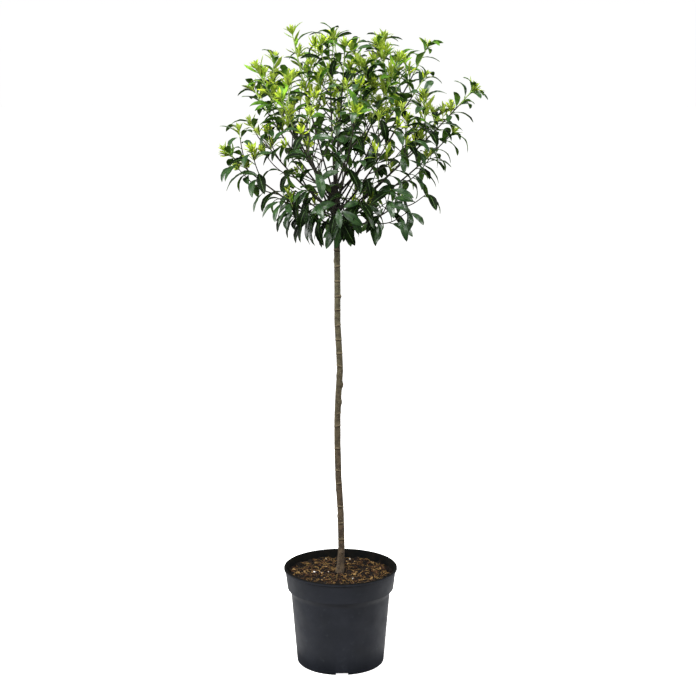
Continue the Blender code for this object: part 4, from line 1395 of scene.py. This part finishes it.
class Space:
    """The room that one mass has: nearer to its own shoots than to any other's, and clear of the limbs."""

    def __init__(self, name):
        self.own = taken[name]
        self.others = np.concatenate(all_but(name, taken))
        self.limbs = []
        for other, points in bough_points.items():
            away = np.linalg.norm(points - stems[name][0], axis=1) > JOINT_ZONE
            self.limbs.append(points[away if other == name else slice(None)])
        self.limbs = np.concatenate(self.limbs)
        self.stem = stem_line(LEAVES_FLOOR)

    def holds(self, points):
        below, above = np.array(CAD_LOW) - BOX_MARGIN, np.array(CAD_HIGH) + BOX_MARGIN
        if (points < below).any() or (points > above).any():
            return False
        if (distances(points, self.others) - distances(points, self.own) < SPACE_MARGIN).any():
            return False
        near_limb = distances(points, self.limbs) < LIMB_RADIUS + LIMB_MARGIN
        near_stem = distances(points, self.stem) < STEM_RADIUS_HIGH + HEAD_SWELL + LIMB_MARGIN
        return not (near_limb.any() or near_stem.any())


def ball(points):
    """The middle of the points, and how far the furthest is from it."""
    middle = points.mean(axis=0)
    return middle, np.linalg.norm(points - middle, axis=1).max()


class Crowd:
    """Everything that already stands in the crown, so that a new leaf can be kept from crossing it."""

    def __init__(self):
        self.trees, self.owners = [], []
        self.middles = np.zeros((MOST_SHAPES, 3))
        self.reaches = np.zeros(MOST_SHAPES)

    def add(self, tree, points, owner):
        count = len(self.trees)
        self.middles[count], self.reaches[count] = ball(points)
        self.trees.append(tree)
        self.owners.append(owner)

    def crosses(self, tree, points, but):
        count = len(self.trees)
        middle, reach = ball(points)
        away = np.linalg.norm(self.middles[:count] - middle, axis=1)
        near = np.nonzero(away < self.reaches[:count] + reach)[0]
        return any(self.owners[k] not in but and tree.overlap(self.trees[k]) for k in near)


crowd = Crowd()
for name, own in masses.items():
    for number, shoot in enumerate(own):
        points, faces = swept(shoot.path[::2], shoot.radii[::2], 3)
        tree = BVHTree.FromPolygons([Vector(point) for point in points], faces)
        crowd.add(tree, np.array(points), f"{name} {number}")
print(f"{len(crowd.trees)} twigs for the leaves to keep off")

# %% Young leaves
# The share of side shoots with a rosette, at two heights: the lowest shoots have stopped growing
ROSETTE_HEIGHTS = (1.09, 1.17)
ROSETTE_ODDS = (0.0, 1.0)
# A rosette at a shoot's tip: its leaves, how deep it is, and how they change from its lowest to its topmost
ROSETTE_LEAVES = (10, 15)
ROSETTE_FROM_VIGOUR = 0.3
ROSETTE_DEPTH = 0.019
ROSETTE_OPENING = (math.radians(60), math.radians(10))
ROSETTE_LENGTH = (0.026, 0.014)
ROSETTE_WIDTH = (0.0058, 0.0038)
# Bigger young leaves below the rosette, along the shoot's green end: opening, length and width
FRESH_FORM = (math.radians(56), 0.035, 0.0090)
FRESH_SPACING = 0.0092
YOUNG_RANGE = (0.8, 1.2)
YOUNG_SIZE_RANGE = (0.78, 1.18)
YOUNG_ARCH_RANGE = (-0.16, 0.14)
YOUNG_TWIST = 0.6
YOUNG_WANDER = 0.4
YOUNG_UP = 0.12
YOUNG_TRIES = 3


def young_leaf(shoot, mark, turn, opening, length, width, chance):
    """A narrow leaf at that mark along the shoot, at that opening from it."""
    share = mark / shoot.length
    ahead = tangent(shoot.path, share)
    out = across(ahead, turn)
    opening *= chance.uniform(*YOUNG_RANGE)
    along = unit(math.cos(opening) * ahead + math.sin(opening) * out + YOUNG_UP * UP)
    face = unit(-out - along * (-out @ along))
    size = chance.uniform(*YOUNG_SIZE_RANGE)
    arch = chance.uniform(*YOUNG_ARCH_RANGE)
    twist = chance.uniform(-YOUNG_TWIST, YOUNG_TWIST)
    return Leaf(point_on(shoot.path, share), along, face, length * size, width * size, arch, twist)


def place_young(leaves, space, shoot, owner, mark, turn, form, chance):
    """Tries a young leaf a few times, and keeps the first that has room."""
    for _ in range(YOUNG_TRIES):
        leaf = young_leaf(shoot, mark, turn + chance.uniform(-YOUNG_WANDER, YOUNG_WANDER), *form, chance)
        points, tree = leaf.samples(), leaf.tree()
        if space.holds(points) and not crowd.crosses(tree, points, (owner,)):
            crowd.add(tree, points, owner)
            leaves.append(leaf)
            return


young_leaves = {"lime": [], "fresh": []}
for name, own in masses.items():
    space = Space(name)
    vigour = TRAITS.get(name, AVERAGE)[1]
    for number, shoot in enumerate(own):
        chance = random.Random(f"{SEED} {name} young {number}")
        owner = f"{name} {number}"
        turn = chance.uniform(0.0, math.tau)
        odds = vigour * np.interp(shoot.tip_height, ROSETTE_HEIGHTS, ROSETTE_ODDS)
        always = shoot.kind in ("leader", "sprig")
        shoot.growing = always or shoot.kind == "side" and chance.random() < odds
        if shoot.growing:
            count = round(chance.uniform(*ROSETTE_LEAVES) * vigour**ROSETTE_FROM_VIGOUR)
            for k in reversed(range(count)):
                rank = k / (count - 1)
                mark = shoot.length - ROSETTE_DEPTH * (1 - rank)
                form = [between(pair, rank) for pair in (ROSETTE_OPENING, ROSETTE_LENGTH, ROSETTE_WIDTH)]
                place_young(young_leaves["lime"], space, shoot, owner, mark, turn, form, chance)
                turn += GOLDEN_TURN
        mark = shoot.length - ROSETTE_DEPTH - FRESH_SPACING
        while mark > shoot.length - shoot.young:
            place_young(young_leaves["fresh"], space, shoot, owner, mark, turn, FRESH_FORM, chance)
            turn += GOLDEN_TURN
            mark -= FRESH_SPACING * chance.uniform(*YOUNG_RANGE)
print({tint: len(leaves) for tint, leaves in young_leaves.items()}, "young leaves")

# %% Mature leaves
# Length and width of a leaf, and the space between leaves, low in the crown and high in it
LEAF_HEIGHTS = (1.10, 1.34)
LEAF_LENGTHS = (0.071, 0.056)
LEAF_WIDTHS = (0.0204, 0.0180)
LEAF_SPACINGS = (0.0205, 0.0135)
LEAF_OPENINGS = (math.radians(66), math.radians(58))
LEAF_SPACING_VARIES = 0.15
# The oldest leaves have dropped, so leaves are wider apart at a shoot's root than at its tip
LEAF_SPACING_ALONG = (1.35, 0.72)
LEAF_FIRST = {"leader": 0.018, "skirt": 0.006, "side": 0.014, "inner": 0.010}
# How much closer together leaves grow on the skirt's shoots
SKIRT_LEAFINESS = 1.8
LEAF_BELOW_ROSETTE = 0.008
LEAF_BELOW_BUD = 0.002
# Mature leaves grow into this share of a shoot's young end, between its young ones
LEAF_AMONG_YOUNG = 0.5
OPENING_RANGE = (0.75, 1.25)
LEAF_SIZE_RANGE = (0.80, 1.12)
LEAF_ARCH_RANGE = (0.10, 0.28)
LEAF_TWIST = 0.5
# How far a leaf is rolled over, how much it faces up, and how much it has turned to the light of its place
# at the nursery, where it stands out and where it hangs
LEAF_ROLL = (0.50, 0.65)
LEAF_FACE_UP = (1.00, 0.20)
LEAF_FACE_LIGHT = (0.15, 1.10)
LEAF_SMALLER_AT_TIP = 0.22
LEAF_STIFFER_AT_TIP = 0.45
LEAF_TURNS_DEG = (0, 50, -50, 100, -100, 150, -150)
LEAF_TRIMS = (1.0, 0.85)
# How far leaves bend down, least and most, at which heights, and between which heights they begin to hang
LEAF_DROOP = (0.25, 1.45)
DROOP_HEIGHTS = (1.34, 1.02)
HANGING_HEIGHTS = (1.16, 1.04)
DROOP_RANGE = (0.7, 1.2)


def mature_leaf(shoot, share, turn, trim, chance):
    ahead = tangent(shoot.path, share)
    out = across(ahead, turn)
    root = point_on(shoot.path, share)
    opening = np.interp(root[2], LEAF_HEIGHTS, LEAF_OPENINGS) * chance.uniform(*OPENING_RANGE)
    heading = math.cos(opening) * ahead + math.sin(opening) * out
    droop = np.interp(-root[2], np.negative(DROOP_HEIGHTS), LEAF_DROOP) * (1 - LEAF_STIFFER_AT_TIP * share)
    hanging = np.interp(-root[2], np.negative(HANGING_HEIGHTS), (0.0, 1.0))
    along = unit(heading - UP * droop * chance.uniform(*DROOP_RANGE))
    rolled = across(ahead, chance.uniform(0.0, math.tau))
    face = ahead + between(LEAF_FACE_UP, hanging) * UP + between(LEAF_ROLL, hanging) * rolled
    face += between(LEAF_FACE_LIGHT, hanging) * LIGHT_FROM
    face = unit(face - along * (face @ along))
    size = trim * chance.uniform(*LEAF_SIZE_RANGE) * (1 - LEAF_SMALLER_AT_TIP * share)
    arch = chance.uniform(*LEAF_ARCH_RANGE)
    twist = chance.uniform(-LEAF_TWIST, LEAF_TWIST)
    length = size * np.interp(root[2], LEAF_HEIGHTS, LEAF_LENGTHS)
    width = size * np.interp(root[2], LEAF_HEIGHTS, LEAF_WIDTHS)
    return Leaf(root, along, face, length, width, arch, twist)


# %% Where the mature leaves go
# The height up to which a leaf has each tint, how far chance moves that for a spray and for a leaf, and the
# share of leaves that are a year older, low in the crown and high in it: these count as at height 0
TINT_HEIGHTS = {"old": 0.0, "deep": 1.29, "middle": 1.50, "bright": 9.9}
SPRAY_TINT_WANDER = 0.10
LEAF_TINT_WANDER = 0.12
# Old leaves are darker green; their near black is painted shade in the crown
OLD_SHARES = (0.36, 0.62)

mature_leaves = {tint: [] for tint in TINT_HEIGHTS}
tried = 0
for name, own in masses.items():
    space = Space(name)
    for number, shoot in enumerate(own):
        if shoot.kind == "sprig":
            continue
        chance = random.Random(f"{SEED} {name} leaves {number}")
        owner = f"{name} {number}"
        leafiness = SKIRT_LEAFINESS if shoot.kind == "skirt" else TRAITS.get(name, AVERAGE)[0]
        spray_shift = chance.uniform(-SPRAY_TINT_WANDER, SPRAY_TINT_WANDER)
        turn = chance.uniform(0.0, math.tau)
        below_tip = LEAF_BELOW_ROSETTE if shoot.growing else LEAF_BELOW_BUD
        mark = shoot.length - max(shoot.young * (1 - LEAF_AMONG_YOUNG), below_tip)
        while mark > LEAF_FIRST[shoot.kind]:
            tried += 1
            share = mark / shoot.length
            for trim, shift in product(LEAF_TRIMS, LEAF_TURNS_DEG):
                leaf = mature_leaf(shoot, share, turn + math.radians(shift), trim, chance)
                points = leaf.samples()
                if not space.holds(points):
                    continue
                tree = leaf.tree()
                if crowd.crosses(tree, points, (owner,) if share < shoot.young_from else ()):
                    continue
                height = leaf.root[2] + spray_shift + chance.uniform(-LEAF_TINT_WANDER, LEAF_TINT_WANDER)
                height *= chance.random() > np.interp(height, LEAF_HEIGHTS, OLD_SHARES)
                tint = next(tint for tint, ceiling in TINT_HEIGHTS.items() if height <= ceiling)
                mature_leaves[tint].append(leaf)
                crowd.add(tree, points, f"{owner} leaf")
                break
            turn += GOLDEN_TURN
            spacing = np.interp(point_on(shoot.path, share)[2], LEAF_HEIGHTS, LEAF_SPACINGS) / leafiness
            spacing *= between(LEAF_SPACING_ALONG, share)
            mark -= spacing * chance.uniform(1 - LEAF_SPACING_VARIES, 1 + LEAF_SPACING_VARIES)
print({tint: len(leaves) for tint, leaves in mature_leaves.items()}, f"mature leaves from {tried} places")

# %% [markdown]
# A leaf's mesh. Rows of points run from the stalk to the tip, and columns from edge to edge, with a narrow
# strip down the middle for the midrib. The rows follow an arch, turn with the leaf's twist, and are as wide
# as a lance-shaped outline says. Across a row the blade folds up from the midrib and curls down again at its
# edges, and the edges ripple a little. The lower side is the same grid, half a millimetre down, with the
# midrib standing out below, so that each leaf is a closed thin solid.

# %% Leaf meshes
MATURE_ROWS = np.array((0.0, 0.07, 0.11, 0.18, 0.28, 0.40, 0.53, 0.66, 0.79, 0.91, 1.0))
MATURE_COLUMNS = np.array((-1.0, -0.55, -0.05, 0.05, 0.55, 1.0))
FRESH_ROWS = np.array((0.0, 0.12, 0.30, 0.50, 0.72, 0.90, 1.0))
FRESH_COLUMNS = np.array((-1.0, -0.5, 0.0, 0.5, 1.0))
ROSETTE_ROWS = np.array((0.0, 0.22, 0.48, 0.78, 1.0))
ROSETTE_COLUMNS = np.array((-1.0, 0.0, 1.0))
UPPER_SLOT, RIB_SLOT, UNDER_SLOT = 0, 1, 2
RIB_DEPTH = 0.0006
TWIST_FROM = 0.2
RIPPLES = (2.0, 3.2)


def lance(rows, stalk, power):
    """Half width of the blade at each row, from 0 to 1: nothing on the stalk, widest near the middle."""
    share = np.clip((rows - stalk) / (1 - stalk), 0.0, 1.0)
    return np.maximum(np.sin(np.pi * share**1.08), 0.0) ** power


def blade_faces(rows, columns):
    """Faces of a closed blade, and whether each is above, on the midrib, or below."""
    faces, slots = [], []
    below = rows * columns
    rib = columns // 2 - 1 if columns % 2 == 0 else None
    for row, column in product(range(rows - 1), range(columns - 1)):
        low = row * columns + column
        quad = (low, low + 1, low + columns + 1, low + columns)
        faces += [quad, tuple(below + k for k in reversed(quad))]
        slots += [RIB_SLOT, RIB_SLOT] if column == rib else [UPPER_SLOT, UNDER_SLOT]
    # The rim, once round the blade: up one edge, across the tip, down the other edge and across the stalk
    rim = [*range(0, below, columns), *range(below - columns + 1, below)]
    rim += [*range(below - columns - 1, columns - 2, -columns), *range(columns - 2, 0, -1)]
    faces += [(a, b, below + b, below + a) for a, b in zip(rim, rim[1:] + rim[:1])]
    slots += [UNDER_SLOT] * len(rim)
    return np.array(faces), np.array(slots)


def leaf_mesh(name, leaves, grid, finishes, stalk, power, fold, curl, ripple, thickness, stalk_width):
    """All the leaves of one tint as one mesh of closed thin blades."""
    rows, columns = grid
    chance = np.random.default_rng(SEED + len(leaves))
    count = len(leaves)
    root, along, face, length, width, arch, twist = (np.array(numbers) for numbers in zip(*leaves))
    length, width, arch, twist = (numbers[:, None] for numbers in (length, width, arch, twist))
    side = np.cross(along, face)
    lift = arch * 4 * rows * (1 - rows)
    slope = arch * 4 * (1 - 2 * rows)
    line = root[:, None] + along[:, None] * (length * rows)[..., None]
    line = line + face[:, None] * (length * lift)[..., None]
    over = face[:, None] - along[:, None] * slope[..., None]
    over = over / np.linalg.norm(over, axis=2)[..., None]
    turn = (twist * (rows - TWIST_FROM))[..., None]
    sideways = np.cos(turn) * side[:, None] + np.sin(turn) * over
    over = np.cos(turn) * over - np.sin(turn) * side[:, None]
    half = np.maximum(width / 2 * lance(rows, stalk, power), stalk_width / 2)
    half[:, -1] = stalk_width / 6
    spread = half[..., None] * columns
    wave = np.sin(math.tau * (chance.uniform(*RIPPLES, (count, 1)) * rows + chance.random((count, 1))))
    rise = fold * np.abs(columns) - curl * columns**2 + (ripple * wave)[..., None] * np.abs(columns)
    rise = half[..., None] * rise
    upper = line[:, :, None] + sideways[:, :, None] * spread[..., None] + over[:, :, None] * rise[..., None]
    thick = np.full((len(rows), len(columns)), thickness)
    thick[rows <= stalk] = stalk_width
    if len(columns) % 2 == 0:
        middle = len(columns) // 2
        thick[:, middle - 1 : middle + 1] += (RIB_DEPTH * (1 - rows))[:, None]
    lower = upper - over[:, :, None] * thick[..., None]
    points = np.concatenate((upper.reshape(count, -1, 3), lower.reshape(count, -1, 3)), axis=1)
    faces, slots = blade_faces(len(rows), len(columns))
    faces = (faces + np.arange(count)[:, None, None] * points.shape[1]).reshape(-1, 4)
    points, slots = points.reshape(-1, 3), np.tile(slots, count)
    made = mesh_object(name, points.tolist(), faces.tolist(), finishes, slots, sharp_deg=55)
    stands_for(made, "foliage", *FOLIAGE)


# %% [markdown]
# Laurel leaf. A thick waxy skin over green flesh: deep green and glossy above, paler and duller below, with
# a midrib of plain mid green. Wax has an IOR near 1.45. The gloss is broad, because the blade is faintly
# quilted between its side veins, 4 to 5 mm apart, which the bump draws. Where a spray grows decides its
# green: dark blue green low down, fresher near the top, and lime where it has just unfolded. Leaves that are
# a year older are darker green and are painted nearly black everywhere, as painted shade between the lime
# rosettes, where they make the dark accents.


# %% Leaf finishes
def leaf_finish(name, first, second, roughness, wax, gloss=0.35):
    """A leaf's skin: two greens in patches of 14 mm, with quilting and a coat of wax."""
    skin = {"IOR": 1.45, "Specular_IOR_Level": gloss}
    coat = {"Coat_Weight": wax, "Coat_Roughness": 0.25, "Coat_IOR": 1.45}
    finish = two_tone(name, first, second, 14.0, 4.5, 0.5, strength=0.7, **skin, **coat)
    finish.wear(9.0, roughness, roughness + 0.14)
    return finish.material


UNDERSIDE = leaf_finish("leaf underside", "#3c641c", "#698f38", 0.55, 0.0, 0.12)
MIDRIB = leaf_finish("leaf midrib", "#35521f", "#4b6b2f", 0.45, 0.05)
YOUNG_UNDERSIDE = leaf_finish("young leaf underside", "#93ad3a", "#adc250", 0.55, 0.0, 0.2)
TINTS = {
    # Painted shade: old leaves are painted nearly black
    "old": leaf_finish("old leaf, painted shade, nearly black", "#060f02", "#0f1f05", 0.45, 0.0, 0.07),
    "deep": leaf_finish("deep laurel green", "#1b3518", "#335127", 0.34, 0.40, 0.40),
    "middle": leaf_finish("laurel green", "#2b500a", "#568020", 0.40, 0.05, 0.18),
    "bright": leaf_finish("bright laurel green", "#447610", "#679824", 0.42, 0.04, 0.18),
    "fresh": leaf_finish("fresh young green", "#6a9f20", "#93c030", 0.42, 0.0, 0.22),
    "lime": leaf_finish("lime young green", "#94b024", "#bdcd3c", 0.44, 0.0, 0.20),
}

for tint, leaves in mature_leaves.items():
    leaf_mesh(
        f"mature_leaves_{tint}", leaves, (MATURE_ROWS, MATURE_COLUMNS), [TINTS[tint], MIDRIB, UNDERSIDE],
        stalk=0.10, power=0.66, fold=0.55, curl=0.34, ripple=0.08, thickness=0.00050, stalk_width=0.0014,
    )
YOUNG_GRIDS = {"fresh": (FRESH_ROWS, FRESH_COLUMNS), "lime": (ROSETTE_ROWS, ROSETTE_COLUMNS)}
for tint, leaves in young_leaves.items():
    leaf_mesh(
        f"young_leaves_{tint}", leaves, YOUNG_GRIDS[tint], [TINTS[tint], MIDRIB, YOUNG_UNDERSIDE],
        stalk=0.0, power=0.85, fold=0.50, curl=0.15, ripple=0.04, thickness=0.00035, stalk_width=0.0010,
    )

# %% [markdown]
# Size. The box of the solids is printed, in millimetres. The dressed plant has to stay in the
# box of its solids.

# %% Sizes
print("solids", [round(1000 * v) for v in (*CAD_LOW, *CAD_HIGH)])
